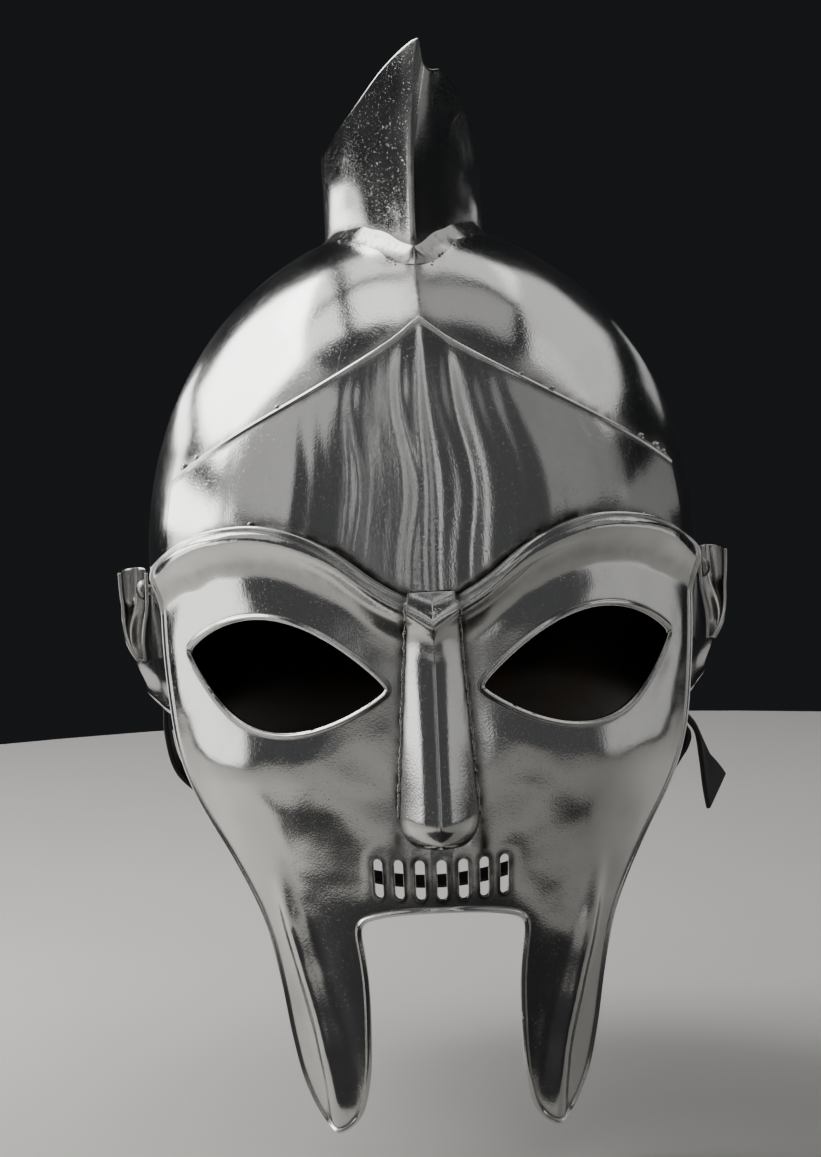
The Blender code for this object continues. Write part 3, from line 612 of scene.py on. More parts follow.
# The dents that raising leaves in the skull: how long each kind is, and its share of the depth.
SKULL_DENTS = ((0.055, 0.60), (0.024, 0.34), (0.011, 0.07))
RIM_GRIME = GrimeAndShade(0.0012, 0.8)
RIM_GRIME_ABOVE = 0.0006            # above the rolled rim
LAP_GRIME = GrimeAndShade(0.0030, 0.9)      # along the frontlet's upper edge
RIDGE_GRIME = GrimeAndShade(0.004, 0.3)
RIDGE_GRIME_END = (0.06, 0.02)      # down to this depth, and over what depth it fades in


def rim_depth(angle):
    start, reach = NECK_RIM_TURN
    return mix(SIDE_RIM, NECK_RIM, ease((np.abs(angle) - start) / reach))


def neck_flare(angle, depth):
    start, reach = NECK_FLARE_TURN
    round_neck = ease((np.abs(angle) - start) / reach)
    return NECK_FLARE * round_neck * ease((depth - NECK_FLARE_START) / NECK_FLARE_LENGTH)


def jaw_flare(angle, depth):
    """How far the side wall swells outward."""
    turn = np.abs(angle)
    made = JAW_FLARE
    for at, (start, over) in ((turn, JAW_FLARE_GROWS), (depth, JAW_FLARE_TOP)):
        made = made * ease((at - start) / over)
    for at, (start, over) in ((turn, JAW_FLARE_FADES), (depth, JAW_FLARE_FOOT)):
        made = made * (1 - ease((at - start) / over))
    return made


def skull_rows():
    """How far down each row of the skull lies: the dome's share and then the side's share."""
    side = SIDE_ROWS - RIM_ROWS
    rim_share = RIM_ROLL / (SIDE_RIM - DOME_DEPTH)
    dome = [(row / DOME_ROWS, 0.0) for row in range(DOME_ROWS)]
    wall = [(1.0, mix(0.0, 1 - rim_share, row / side)) for row in range(side)]
    rim = [(1.0, mix(1 - rim_share, 1.0, row / RIM_ROWS)) for row in range(RIM_ROWS + 1)]
    return np.array(dome + wall + rim)


def skull_points(angle, dome_share, side_share):
    """The skull's outside before it is dented, and how far above the rim each point lies."""
    depth = DOME_DEPTH * (1 - np.cos(dome_share * pi / 2))
    depth = depth + (rim_depth(angle) - DOME_DEPTH) * side_share
    outward = stack(np.sin(angle), -np.cos(angle), 0.0 * angle)
    points = plain_point(angle, depth) + outward * neck_flare(angle, depth)[:, None]
    rise = RIDGE_RISE * bump(points[:, 0], RIDGE_REACH)
    lean = depth / DOME_DEPTH
    tilt = stack(0.0 * lean, -np.cos(angle) * np.minimum(1.0, lean), np.maximum(0.0, 1 - lean))
    points = points + tilt * rise[:, None]
    points[:, 0] += np.sign(angle) * jaw_flare(angle, depth)
    to_rim = rim_depth(angle) - depth
    roll = RIM_RISE * bead(to_rim, RIM_ROLL)
    tuck = RIM_RISE * ease(1.5 - to_rim / RIM_ROLL / 2)
    return points + outward * (roll - tuck)[:, None], to_rim


def make_skull(sizes, materials):
    """One raised sheet from crown to neck, with soft dents and a low rolled rim."""
    rows = skull_rows()
    bm = grid_of(SKULL_COLUMNS, len(rows) - 1)
    places = coordinates(bm)
    angle = (places[:, 0] * 2 - 1) * pi
    row = np.rint((1 - places[:, 1]) * (len(rows) - 1)).astype(int)
    points, to_rim = skull_points(angle, *rows[row].T)
    place(bm, points)
    opening_row = round(OPENING_FALL / (pi / 2) * DOME_ROWS)
    in_opening = (np.abs(angle) < OPENING_ANGLE + OPENING_SPARE) & (row >= opening_row)
    index_in = set(np.flatnonzero(in_opening))
    bm.verts.ensure_lookup_table()
    opening = [f for f in bm.faces if all(v.index in index_in for v in f.verts)]
    dent = dent_field(points, SKULL_DENTS, seed=1)
    inward = -sizes.dent_depth * (0.5 + 0.5 * dent) * ease(to_rim / RIM_CALM)
    bm.normal_update()
    flip = -1.0 if bm.verts[len(bm.verts) // 2].normal.dot(Vector(points[len(points) // 2])) < 0 else 1.0
    for v, fall in zip(bm.verts, inward):
        v.co += v.normal * float(flip * min(fall, 0.0))
    bmesh.ops.delete(bm, geom=opening, context="FACES")
    bmesh.ops.remove_doubles(bm, verts=bm.verts, dist=POLE_GAP)
    bmesh.ops.recalc_face_normals(bm, faces=bm.faces)
    bm.normal_update()
    top = max(bm.verts, key=lambda v: v.co.z)
    if top.normal.z < 0:
        bmesh.ops.reverse_faces(bm, faces=bm.faces)
        bm.normal_update()
    inner = {v: v.normal.copy() for v in bm.verts}
    bmesh.ops.extrude_face_region(bm, geom=bm.faces[:])
    for v, normal in inner.items():
        v.co -= normal * SHEET
    finish_wall(bm, inner, sizes.edge_bevel)
    x, y, z = coordinates(bm).T
    around = np.arctan2(x / DOME_HALF_WIDTH, -y / DOME_FRONT)
    depth = CROWN_Z - z
    girth = np.abs(around) * DOME_HALF_WIDTH
    ridge_foot, ridge_fade = RIDGE_GRIME_END
    patina = all_grime_and_shade(
        grime_and_shade(rim_depth(around) - depth - RIM_ROLL - RIM_GRIME_ABOVE, RIM_GRIME),
        grime_and_shade(peak_depth(girth) - depth, LAP_GRIME) * (girth < FRONTLET_REACH),
        crest_foot_grime(x, y, z),
        grime_and_shade(x, RIDGE_GRIME) * ease((ridge_foot - depth) / ridge_fade),
    )
    return add_piece("skull_sheet", bm, materials, ("skull",), {"patina": patina})


# ---------------------------------------------------------------- frontlet
FRONTLET_COLUMNS = 212
FRONTLET_ROWS = 84
FRONTLET_ROW_CURVE = 1.35           # over 1, the rows are closer towards the gable
HEM_WIDTH = 0.0024
HEM_RISE = 0.0005
HEM_GRIME = GrimeAndShade(0.0010, 0.7)
HEM_GRIME_BELOW = 0.0004            # below the hem
BROW_GRIME = GrimeAndShade(0.0022, 1.0)
FRONTLET_DENTS = ((0.030, 0.00012),)
# Upright waves that planishing leaves in the forehead: length, height and a phase in turns.
FRONTLET_WAVES = ((0.0190, 0.00022, 0.10), (0.0105, 0.00011, 0.37), (0.0068, 0.00005, 0.80))
FRONTLET_WAVE_REACH = 0.062
FRONTLET_CALM = 0.012               # over which the waves grow below the gable
# How the waves wander to the side on their way down: how far, over what depth, and a phase in radians.
FRONTLET_WANDER = ((0.0022, 0.021, 0.0), (0.0012, 0.0087, 1.0))


def brow_depth(across):
    return along_table(BROW, "depth", np.abs(across))


def peak_depth(across):
    """Upper edge of the frontlet."""
    return mix(PEAK_DEPTH, FRONTLET_SIDE_DEPTH, np.minimum(np.abs(across) / FRONTLET_REACH, 1.0))


def frontlet_surface(across, level):
    depth = -level
    rise = RIDGE_RISE * bump(across, FRONTLET_RIDGE_REACH)
    wander = sum(far * np.sin(depth / over + phase) for far, over, phase in FRONTLET_WANDER)
    wave = 0.0 * across
    for length, height, phase in FRONTLET_WAVES:
        wave = wave + height * np.sin(2 * pi * ((across + wander) / length + phase))
    wave = wave * bump(across, FRONTLET_WAVE_REACH) * ease((depth - peak_depth(across)) / FRONTLET_CALM)
    return form_point(across, depth, GAP + SHEET + rise + wave)


def make_frontlet(sizes, materials):
    """The low peaked sheet on the forehead, with a narrow raised hem along its gable."""
    bm = grid_of(FRONTLET_COLUMNS, FRONTLET_ROWS)
    share_x, share_y, _ = coordinates(bm).T
    across = mix(-FRONTLET_REACH, FRONTLET_REACH, share_x)
    upward = 1 - (1 - share_y) ** FRONTLET_ROW_CURVE
    depth = mix(brow_depth(across) + FRONTLET_TUCK, peak_depth(across), upward)
    place(bm, stack(across, -depth, 0.0 * across))
    make_slab(bm, -SHEET, 0.0, sizes.edge_bevel)

    def hem(u, v, w):
        raised = HEM_RISE * bead(-v - peak_depth(u), HEM_WIDTH) * (1 + w / SHEET)
        return raised + flat_dents(u, v, FRONTLET_DENTS, seed=4)

    flat = lay(bm, frontlet_surface, raised=hem)
    u, v, _ = flat.T
    patina = all_grime_and_shade(
        grime_and_shade(-v - peak_depth(u) - HEM_WIDTH - HEM_GRIME_BELOW, HEM_GRIME),
        grime_and_shade(brow_depth(u) + v, BROW_GRIME),
    )
    return add_piece(
        "frontlet_sheet", bm, materials, ("frontlet",), {"patina": patina}, flat[:, :2]
    )


# ---------------------------------------------------------------- face plate
OUTLINE_STEP = 0.00025
BORDER_SOFTNESS = 0.0035            # rounds the border's corners wider than its bead
EYE_SOFTNESS = 0.0010
SLOT_SOFTNESS = 1e-4
CHEEK_STEPS = 40                    # between two points of the cheek's edge
MOUTH_STEPS = 80
EYE_STEPS = 160
SLOT_END_STEPS = 24
BROW_SPARE = 0.0004                 # under the brow, where the cheek's edge takes over
FACE_CELL = SLOT_PITCH / 7          # so that every web between two slots has its own columns
BORDER_SPARE = 0.0006               # of the rows along the border, beyond its bead
EDGE_ROWS = 10
FINE_HALF_WIDTH = 0.036             # round the mouth slots the cells are half as large
FINE_DEPTHS = (0.2150, 0.2460)
LIP_WIDTH = 0.0009                  # round the mouth slots
LIP_RISE = 0.00032
LIP_ROWS = 3
SETTLE_ROUNDS = 30                  # for the rows along an edge
SMOOTH_ROUNDS = 12                  # for the grid between them
TRIM_SPARE = 0.08                   # of a cell, between the grid and the rows
TRIM_GAP = 2e-5
# The dents that planishing leaves in the face plate: how long each kind is, and how deep.
FACE_DENTS = ((0.036, 0.00070), (0.016, 0.00026), (0.007, 0.00004))
EDGE_CALM = 0.012                   # over which the dents fade out towards the border
SLOT_CALM = 0.006
BEAD_GRIME = GrimeAndShade(0.00035, 0.62)
BEAD_GRIME_BESIDE = 0.0001
LIP_GRIME = GrimeAndShade(0.0012, 0.9)
SEAM_GRIME = GrimeAndShade(0.0020, 1.0)     # beside the nasal
SEAM_GRIME_BESIDE = 0.0006
SEAM_GRIME_BELOW = 0.004
PAINTED_BROW_SHADE = GrimeAndShade(0.0030, 0.25)  # painted shade: a dark band under the brow's ridge
PAINTED_BROW_SHADE_BELOW = 2.9                  # times the ridge's own place under the brow


def half_border():
    """The face plate's edge from the middle of the brow round the cheek guard to the middle of the mouth."""
    across = np.arange(0.0, CHEEK_EDGE[0].across, OUTLINE_STEP)
    brow = np.column_stack([across, -brow_depth(across)])
    line = np.array(smooth_line([(p.across, -p.depth) for p in CHEEK_EDGE], CHEEK_STEPS))
    cheek = line[-line[:, 1] > brow_depth(line[:, 0]) + BROW_SPARE]
    across = np.linspace(MOUTH_CORNER.across, 0.0, MOUTH_STEPS)[1:]
    rise = (MOUTH_CORNER.depth - MOUTH_EDGE_DEPTH) * (1 - (across / MOUTH_CORNER.across) ** 2)
    mouth = np.column_stack([across, -(MOUTH_CORNER.depth - rise)])
    return np.vstack([brow, cheek, mouth])


def eye_loop(side):
    """An almond between two pointed corners."""
    inner, outer = np.array(EYE_INNER), np.array(EYE_OUTER)
    chord = outer - inner
    upward = np.array((chord[1], -chord[0])) / np.hypot(*chord)
    share = np.linspace(0, 1, EYE_STEPS, endpoint=False)[:, None]
    points = []
    for start, end, rise in ((inner, outer, EYE_UPPER_RISE), (outer, inner, -EYE_LOWER_DROP)):
        points.append(mix(start, end, share) + upward * rise * np.sin(pi * share) ** EYE_ROUNDNESS)
    return np.vstack(points) * (side, -1)


def slot_loop(across):
    """An upright slot with round ends."""
    radius = SLOT_WIDTH / 2
    turn = np.linspace(0, pi, SLOT_END_STEPS)
    top = np.column_stack([radius * np.cos(turn), radius * np.sin(turn)])
    return np.vstack([top + (across, -SLOT_TOP - radius), -top + (across, -SLOT_BOTTOM + radius)])


def softened(loop, softness):
    """A closed line with even steps, anticlockwise, whose corners are rounded."""
    closed = np.vstack([loop, loop[:1]])
    lengths = np.r_[0, np.cumsum(np.hypot(*np.diff(closed, axis=0).T))]
    count = round(lengths[-1] / OUTLINE_STEP)
    at = np.linspace(0, lengths[-1], count, endpoint=False)
    x, y = (np.interp(at, lengths, closed[:, i]) for i in (0, 1))
    area = np.sum(x * np.roll(y, -1) - y * np.roll(x, -1))
    waves = np.fft.fftfreq(count, d=OUTLINE_STEP) * 2 * pi
    soft = np.fft.ifft(np.fft.fft(x + 1j * y) * np.exp(-((softness * waves) ** 2) / 2))
    made = np.column_stack([soft.real, soft.imag])
    return made if area > 0 else made[::-1]


class EdgeFinder:
    """Finds the nearest point on a set of closed lines, and how far into the metal a place lies."""

    def __init__(self, loops, metal_inside):
        self.points = np.vstack(loops)
        self.before, self.after, self.loop, self.sign = [], [], [], []
        start = 0
        for i, loop in enumerate(loops):
            order = np.arange(len(loop))
            self.before.append(start + (order - 1) % len(loop))
            self.after.append(start + (order + 1) % len(loop))
            self.loop.append(np.full(len(loop), i))
            self.sign.append(np.full(len(loop), 1.0 if metal_inside[i] else -1.0))
            start += len(loop)
        self.before, self.after = np.concatenate(self.before), np.concatenate(self.after)
        self.loop, self.sign = np.concatenate(self.loop), np.concatenate(self.sign)
        self.tree = tree_of([(x, y, 0) for x, y in self.points])

    def __call__(self, places):
        """Nearest points, distances into the metal and the loops that they are on."""
        index = np.array([self.tree.find((x, y, 0))[1] for x, y in places])
        best, distance, side = None, None, None
        for first, second in ((self.before[index], index), (index, self.after[index])):
            a, b = self.points[first], self.points[second]
            run = b - a
            share = np.clip(np.sum((places - a) * run, 1) / np.sum(run * run, 1), 0, 1)[:, None]
            point = a + run * share
            off = places - point
            length = np.hypot(*off.T)
            left = run[:, 0] * off[:, 1] - run[:, 1] * off[:, 0]
            if best is None:
                best, distance, side = point, length, left
            else:
                closer = length < distance
                best = np.where(closer[:, None], point, best)
                distance = np.where(closer, length, distance)
                side = np.where(closer, left, side)
        return best, distance * np.sign(side) * self.sign[index], self.loop[index]


def open_edges(bm):
    """The boundary edges as loops of vertices in order."""
    unused = {e for e in bm.edges if e.is_boundary}
    loops = []
    while unused:
        edge = next(iter(sorted(unused, key=lambda e: e.index)))
        unused.discard(edge)
        start, v = edge.verts
        loop = [start]
        while v is not start:
            loop.append(v)
            edge = next(e for e in v.link_edges if e in unused)
            unused.discard(edge)
            v = edge.other_vert(v)
        loops.append(loop)
    return loops


def away_from(finder, line):
    """The outline's nearest points to a line, and the directions from there to the line."""
    nearest = finder(line)[0]
    off = line - nearest
    return nearest, off / np.hypot(*off.T)[:, None]


def trim(bm, groups):
    """Trims a flat grid to its outlines and adds rows of faces that run along every edge.

    A group is a finder, the width of its rows and their number.
    """
    places = coordinates(bm)[:, :2]
    keep = np.ones(len(places), bool)
    for finder, width, _ in groups:
        keep &= finder(places)[1] > width + FACE_CELL * TRIM_SPARE
    bm.verts.ensure_lookup_table()
    bmesh.ops.delete(bm, geom=[v for v, k in zip(bm.verts, keep) if not k], context="VERTS")
    pinched = True
    while pinched:
        loose = [v for v in bm.verts if not v.link_faces]
        bmesh.ops.delete(bm, geom=loose, context="VERTS")
        pinched = [v for v in bm.verts if sum(e.is_boundary for e in v.link_edges) > 2]
        bmesh.ops.delete(bm, geom=list({f for v in pinched for f in v.link_faces}), context="FACES_ONLY")
        bmesh.ops.delete(bm, geom=[e for e in bm.edges if not e.link_faces], context="EDGES")
    bm.edges.index_update()
    edges_of = []
    for loop in open_edges(bm):
        line = np.array([v.co[:2] for v in loop])
        errors = [np.mean(np.abs(finder(line)[1] - width)) for finder, width, _ in groups]
        finder, width, rows = groups[int(np.argmin(errors))]
        for _ in range(SETTLE_ROUNDS):
            line = 0.5 * line + 0.25 * (np.roll(line, 1, axis=0) + np.roll(line, -1, axis=0))
            nearest, away = away_from(finder, line)
            line = nearest + away * width
        for v, (x, y) in zip(loop, line):
            v.co = (x, y, 0)
        edges_of.append((loop, finder, width, rows))
    fixed = {v for loop, *_ in edges_of for v in loop}
    free = [v for v in bm.verts if v not in fixed]
    for _ in range(SMOOTH_ROUNDS):
        bmesh.ops.smooth_vert(bm, verts=free, factor=0.5, use_axis_x=True, use_axis_y=True)
    for loop, finder, width, rows in edges_of:
        rim = set(loop)
        edges = [e for e in bm.edges if e.is_boundary and e.verts[0] in rim and e.verts[1] in rim]
        for row in range(1, rows + 1):
            made = bmesh.ops.extrude_edge_only(bm, edges=edges)["geom"]
            new = [item for item in made if isinstance(item, bmesh.types.BMVert)]
            edges = [item for item in made if isinstance(item, bmesh.types.BMEdge) and item.is_boundary]
            nearest, away = away_from(finder, np.array([v.co[:2] for v in new]))
            line = nearest + away * width * (1 - row / rows)
            for v, (x, y) in zip(new, line):
                v.co = (x, y, 0)
    bmesh.ops.remove_doubles(bm, verts=bm.verts, dist=TRIM_GAP)


def face_relief(across, depth):
    """Height of the face plate's outer side over the plain form."""
    below = depth - brow_depth(across)
    seat = mix(2 * (GAP + SHEET), GAP, ease((below - JOGGLE_START) / JOGGLE_REACH))
    side = np.abs(across)
    fade = 1 - BROW_FADE_SHARE * ease((side - BROW_FADE[0]) / BROW_FADE[1])
    brow = BROW_RIDGE * fade * bump(below - BROW_RIDGE_BELOW, BROW_RIDGE_REACH)
    cheekbone = CHEEKBONE_RISE * bump(side - CHEEKBONE.across, CHEEKBONE_REACH.across)
    cheekbone = cheekbone * bump(depth - CHEEKBONE.depth, CHEEKBONE_REACH.depth)
    mouth = MOUTH_RISE * bump(side, MOUTH_REACH.across) * bump(depth - MOUTH_DEPTH, MOUTH_REACH.depth)
    share = ease((depth - MIDRIB_TOP.depth) / (MIDRIB_TIP.depth - MIDRIB_TOP.depth))
    rib_line = mix(MIDRIB_TOP.across, MIDRIB_TIP.across, share)
    run_in = ease((depth - MIDRIB_TOP.depth) / MIDRIB_RUN_IN)
    rib = MIDRIB_RISE * bump(side - rib_line, MIDRIB_REACH) * run_in
    return seat + brow + cheekbone + mouth + rib + SHEET


def face_surface(across, level):
    return form_point(across, -level, face_relief(across, -level))


def make_face_plate(sizes, materials):
    """The plate with its brow, eyes, slotted mouth and two cheek guards, hemmed by a raised border."""
    half = half_border()
    border = softened(np.vstack([half, (half * (-1, 1))[::-1][1:-1]]), BORDER_SOFTNESS)
    eyes = [softened(eye_loop(side), EYE_SOFTNESS) for side in (-1, 1)]
    middle = (SLOT_COUNT - 1) / 2
    slots = [softened(slot_loop((i - middle) * SLOT_PITCH), SLOT_SOFTNESS) for i in range(SLOT_COUNT)]
    edges = EdgeFinder([border] + eyes, [True, False, False])
    slot_edges = EdgeFinder(slots, [False] * SLOT_COUNT)
    columns = 2 * int(border[:, 0].max() / FACE_CELL + 1) + 1
    rows = int(np.ptp(border[:, 1]) / FACE_CELL + 3)
    bm = grid_of(columns, rows)
    x, y, _ = coordinates(bm).T
    place(bm, stack((x - 0.5) * columns * FACE_CELL, border[:, 1].min() + (y * rows - 1) * FACE_CELL, 0 * x))
    top, foot = FINE_DEPTHS
    fine = [
        e for e in bm.edges
        if all(abs(v.co.x) < FINE_HALF_WIDTH and top < -v.co.y < foot for v in e.verts)
    ]
    bmesh.ops.subdivide_edges(bm, edges=fine, cuts=1, use_grid_fill=True)
    border_width = sizes.bead_width + BORDER_SPARE
    trim(bm, ((edges, border_width, EDGE_ROWS), (slot_edges, LIP_WIDTH, LIP_ROWS)))
    make_slab(bm, -SHEET, 0.0, sizes.edge_bevel)
    flat = coordinates(bm)
    to_edge, to_slot = edges(flat[:, :2])[1], slot_edges(flat[:, :2])[1]

    def border_beads(u, v, w):
        border = sizes.bead_rise * bead(to_edge, sizes.bead_width)
        lip = LIP_RISE * bead(to_slot, LIP_WIDTH)
        calm = ease(to_edge / EDGE_CALM), ease(to_slot / SLOT_CALM)
        dents = flat_dents(u, v, FACE_DENTS, seed=5) * calm[0] * calm[1]
        return (border + lip) * (1 + w / SHEET) + dents

    lay(bm, face_surface, raised=border_beads)
    u, v, _ = flat.T
    share = np.clip((-v - NASAL_TOP) / (NASAL_BOTTOM - NASAL_TOP), 0, 1)
    beside = np.abs(u) - mix(*NASAL_HALF_WIDTH, share)
    patina = all_grime_and_shade(
        grime_and_shade(to_edge - sizes.bead_width - BEAD_GRIME_BESIDE, BEAD_GRIME),
        grime_and_shade(to_slot - LIP_WIDTH, LIP_GRIME),
        grime_and_shade(beside - SEAM_GRIME_BESIDE, SEAM_GRIME) * (-v < NASAL_BOTTOM + SEAM_GRIME_BELOW),
        # painted shade: a dark band under the brow's ridge, carried in the patina mask
        grime_and_shade(-v - brow_depth(u) - PAINTED_BROW_SHADE_BELOW * BROW_RIDGE_BELOW, PAINTED_BROW_SHADE),
    )
    return add_piece(
        "face_plate_sheet", bm, materials, ("face_plate",), {"patina": patina}, flat[:, :2]
    )


# ---------------------------------------------------------------- nasal
NASAL_COLUMNS = 56
NASAL_ROWS = 120
NASAL_ROWS_DOWN = 0.85              # 0 spaces the rows evenly, 1 packs them at the lower end
NASAL_DENTS = ((0.016, 0.00008),)
NASAL_SIDE_GRIME = GrimeAndShade(0.0012, 1.0)
NASAL_END_GRIME = GrimeAndShade(0.0014, 0.8)


def nasal_surface(u, level):
    edge = u / NASAL_BLANK
    depth = NASAL_TOP - level
    share = np.clip((depth - NASAL_TOP) / (NASAL_BOTTOM - NASAL_TOP), 0, 1)
    to_end = np.clip((NASAL_BOTTOM - depth) / NASAL_END, 0, 1)
    round_end = np.sqrt(np.clip(1 - (1 - to_end) ** 2, 0, 1))
    half = mix(*NASAL_HALF_WIDTH, share) * mix(NASAL_TIP_WIDTH, 1.0, round_end)
    rising = ease((depth - NASAL_TOP) / NASAL_START)
    keel = mix(*NASAL_HEIGHT, ease(share)) * (1 - np.abs(edge) ** NASAL_KEEL) * round_end * rising
    across = edge * half
    return form_point(across, depth, face_relief(across, depth) + GAP + SHEET + keel)


def make_nasal(sizes, materials):
    """A keeled bar over the nose, soldered down along its sides."""
    bm = grid_of(NASAL_COLUMNS, NASAL_ROWS)
    x, y, _ = coordinates(bm).T
    down = 1 - y
    down = mix(down, np.sin(down * pi / 2), NASAL_ROWS_DOWN)
    place(bm, stack((2 * x - 1) * NASAL_BLANK, -down * (NASAL_BOTTOM - NASAL_TOP), 0 * x))
    make_slab(bm, -SHEET, 0.0, sizes.edge_bevel)

    flat = lay(bm, nasal_surface, SMALL_STEP, lambda u, v, w: flat_dents(u, v, NASAL_DENTS, seed=7))
    beside = NASAL_BLANK - np.abs(flat[:, 0])
    above_end = (NASAL_BOTTOM - NASAL_TOP) + flat[:, 1]
    patina = all_grime_and_shade(grime_and_shade(beside, NASAL_SIDE_GRIME), grime_and_shade(above_end, NASAL_END_GRIME))
    return add_piece(
        "nasal_bar", bm, materials, ("nasal",), {"patina": patina}, flat[:, :2]
    )


# ---------------------------------------------------------------- crest
CREST_SIDE_COLUMNS = 104
CREST_ROWS = 60
CREST_ENDS = 0.995                  # of each plate's length, how far the solder follows its foot
CREST_DENTS = ((0.030, 0.00035), (0.012, 0.00009))
PROW_CALM = 0.010                   # over which the dents fade out towards the prow
CREST_FOOT_GRIME = GrimeAndShade(0.0030, 1.0)
PROW_GRIME = GrimeAndShade(0.0011, 0.75)
SKULL_FOOT_GRIME = GrimeAndShade(0.0020, 1.0)  # on the skull, beside the crest
SKULL_FOOT_DEPTH = 0.030            # under the crown; no part of the crest stands lower
SKULL_FOOT_POINTS = 120
FOOT_LINE_POINTS = 400
CREST_OVERRUN = 1.02                # of its length, so that its slope can be read at the rear ends


def crest_place(run, level):
    """Middle of the crest's sheet. Run is -1 at the right plate's rear, 0 at the prow and 1 at the left's."""
    share = np.clip(np.abs(run), 0, None) ** CREST_SWEEP
    left = run > 0
    side = np.where(left, 1.0, -1.0)
    width = np.where(left, CREST_HALF_WIDTH_LEFT, CREST_HALF_WIDTH_RIGHT)
    half = width * np.sin(np.clip(share, 0, CREST_OVERRUN) * pi / 2) ** CREST_CURVE
    y = CREST_FRONT + CREST_LENGTH * share
    tops = [along_table(CREST_TOPS, column, share) for column in ("left_top", "right_top")]
    foot = crown_height(half, y) + GAP + SHEET * FOOT_RISE
    height = mix(foot, np.where(left, *tops), level)
    level = np.clip(level, 0, 1)
    to_rear = (1 - np.minimum(share, 1)) ** 2
    bow = PROW_HOLLOW * np.sin(pi * level) * to_rear
    bend = CREST_TIP_BEND * level**3 * to_rear
    return stack(side * half + bend, y + bow, CROWN_Z + height)


def crest_surface(u, v):
    return crest_place(u / CREST_LENGTH, v / CREST_BLANK_HEIGHT)


def crest_foot_line(inset=0.0, count=FOOT_LINE_POINTS):
    """Points along the crest's foot on the skull, from the right plate's rear to the left's."""
    run = np.linspace(-CREST_ENDS, CREST_ENDS, count)
    low = crest_place(run, 0.0 * run)
    ahead = np.gradient(low, axis=0)
    outward = cross_unit(np.tile((0.0, 0.0, 1.0), (count, 1)), ahead)
    if outward[0, 0] > 0:
        outward = -outward
    x, y = (low + outward * inset)[:, :2].T
    return stack(x, y, CROWN_Z + crown_height(x, y)), outward


def crest_foot_grime(x, y, z):
    """The dark of old polish and oxide on the skull beside the crest's foot."""
    tree = tree_of(crest_foot_line(count=SKULL_FOOT_POINTS)[0])
    dark = np.zeros(len(x))
    for i in np.flatnonzero(z > CROWN_Z - SKULL_FOOT_DEPTH):
        dark[i] = grime_and_shade(tree.find((x[i], y[i], z[i]))[2], SKULL_FOOT_GRIME)
    return dark


def make_crest(sizes, materials):
    """Two plates that meet in a prow, cut by hand from one sheet."""
    bm = grid_of(2 * CREST_SIDE_COLUMNS, CREST_ROWS)
    x, y, _ = coordinates(bm).T
    place(bm, stack((2 * x - 1) * CREST_LENGTH, y * CREST_BLANK_HEIGHT, 0 * x))
    make_slab(bm, -SHEET / 2, SHEET / 2, sizes.edge_bevel)

    def dents(u, v, w):
        return flat_dents(u, v, CREST_DENTS, seed=8) * ease(np.abs(u) / PROW_CALM)

    flat = lay(bm, crest_surface, SMALL_STEP, dents)
    u, v, _ = flat.T
    patina = all_grime_and_shade(grime_and_shade(v, CREST_FOOT_GRIME), grime_and_shade(u, PROW_GRIME))
    return add_piece(
        "crest_plates", bm, materials, ("crest",), {"patina": patina}, flat[:, :2]
    )


# ---------------------------------------------------------------- solder
FILLET_WIDTH = 0.0085               # on the skull, from the middle of the crest's sheet
FILLET_HEIGHT = 0.0034              # at the middle of the crest's sheet
FILLET_HOLLOW = 2.4                 # over 1 makes it hollow, as solder flows
FILLET_SINK = 0.24                  # of the height, how far its outer edge dips under the surface
FILLET_ROUNDS = 12
FILLET_UNDER = 0.27                 # of the height, under the skull's surface
FILLET_NARROW = (0.30, 0.045)       # how much narrower at the prow, and over what share of its length
FILLET_WIDENS = ((0.013, 0.22),)    # how long its lumps are, and their share of the width
FILLET_SWELLS = ((0.012, 0.25),)    # the same for the height
PROW_TURN = 0.0035                  # how far from the prow the fillet starts to turn around it
RUN_ROUNDS = 10
RUN_SWELLS = ((4.5, 0.35), (1.9, 0.30))  # how long the lumps are, and their size, both in radii
RUN_LIMITS = (0.30, 2.0)
RUN_CLOSES = 24                     # the higher, the nearer to its ends a run starts to close
INNER_INSET = -0.0010               # from the middle of the crest's sheet
INNER_SHARE = 0.7                   # of the solder's radius
STRAY_DROPS = 12
STRAY_INSET = 0.0065
STRAY_SCATTER = 0.0016
STRAY_SIZE = (0.00042, 0.00040)     # the least, and how much more at random
SEAM_SHARE = 0.5                    # of the solder's radius
SEAM_ENDS = (0.002, 0.010)          # below the nasal's top and above its end
SEAM_POINTS = 260
SEAM_BESIDE = 0.0002
SEAM_LIFT = 0.0003
DROP_LUMPS = ((1.2, 0.10),)         # how long and how high, both in radii
DROP_OVAL = (0.8, 0.3)              # its least width for its length, and how much more at random
# Drops along the frontlet's hem and the brow: girth from the middle, and size.
HEM_DROPS = (
    (-0.1085, 0.0020), (-0.1010, 0.0014), (-0.0620, 0.0011), (0.0440, 0.0010),
    (0.0560, 0.0015), (0.0975, 0.0017), (0.1065, 0.0023), (0.1120, 0.0014),
)
BROW_DROPS = (
    (-0.1080, 0.0017), (-0.0930, 0.0012), (-0.0665, 0.0010),
    (0.0870, 0.0013), (0.0985, 0.0018), (0.1100, 0.0014),
)
HEM_DROP_SET = (0.0006, 0.0012)     # how far above the edge, and the height over the form
BROW_DROP_SET = (0.0005, 0.0020)
DROP_FLATNESS = 0.62


def run_taper(share):
    """The size along a run of solder: full, and closing at both ends."""
    return np.sqrt(np.clip(1 - (2 * share - 1) ** RUN_CLOSES, 0, 1))


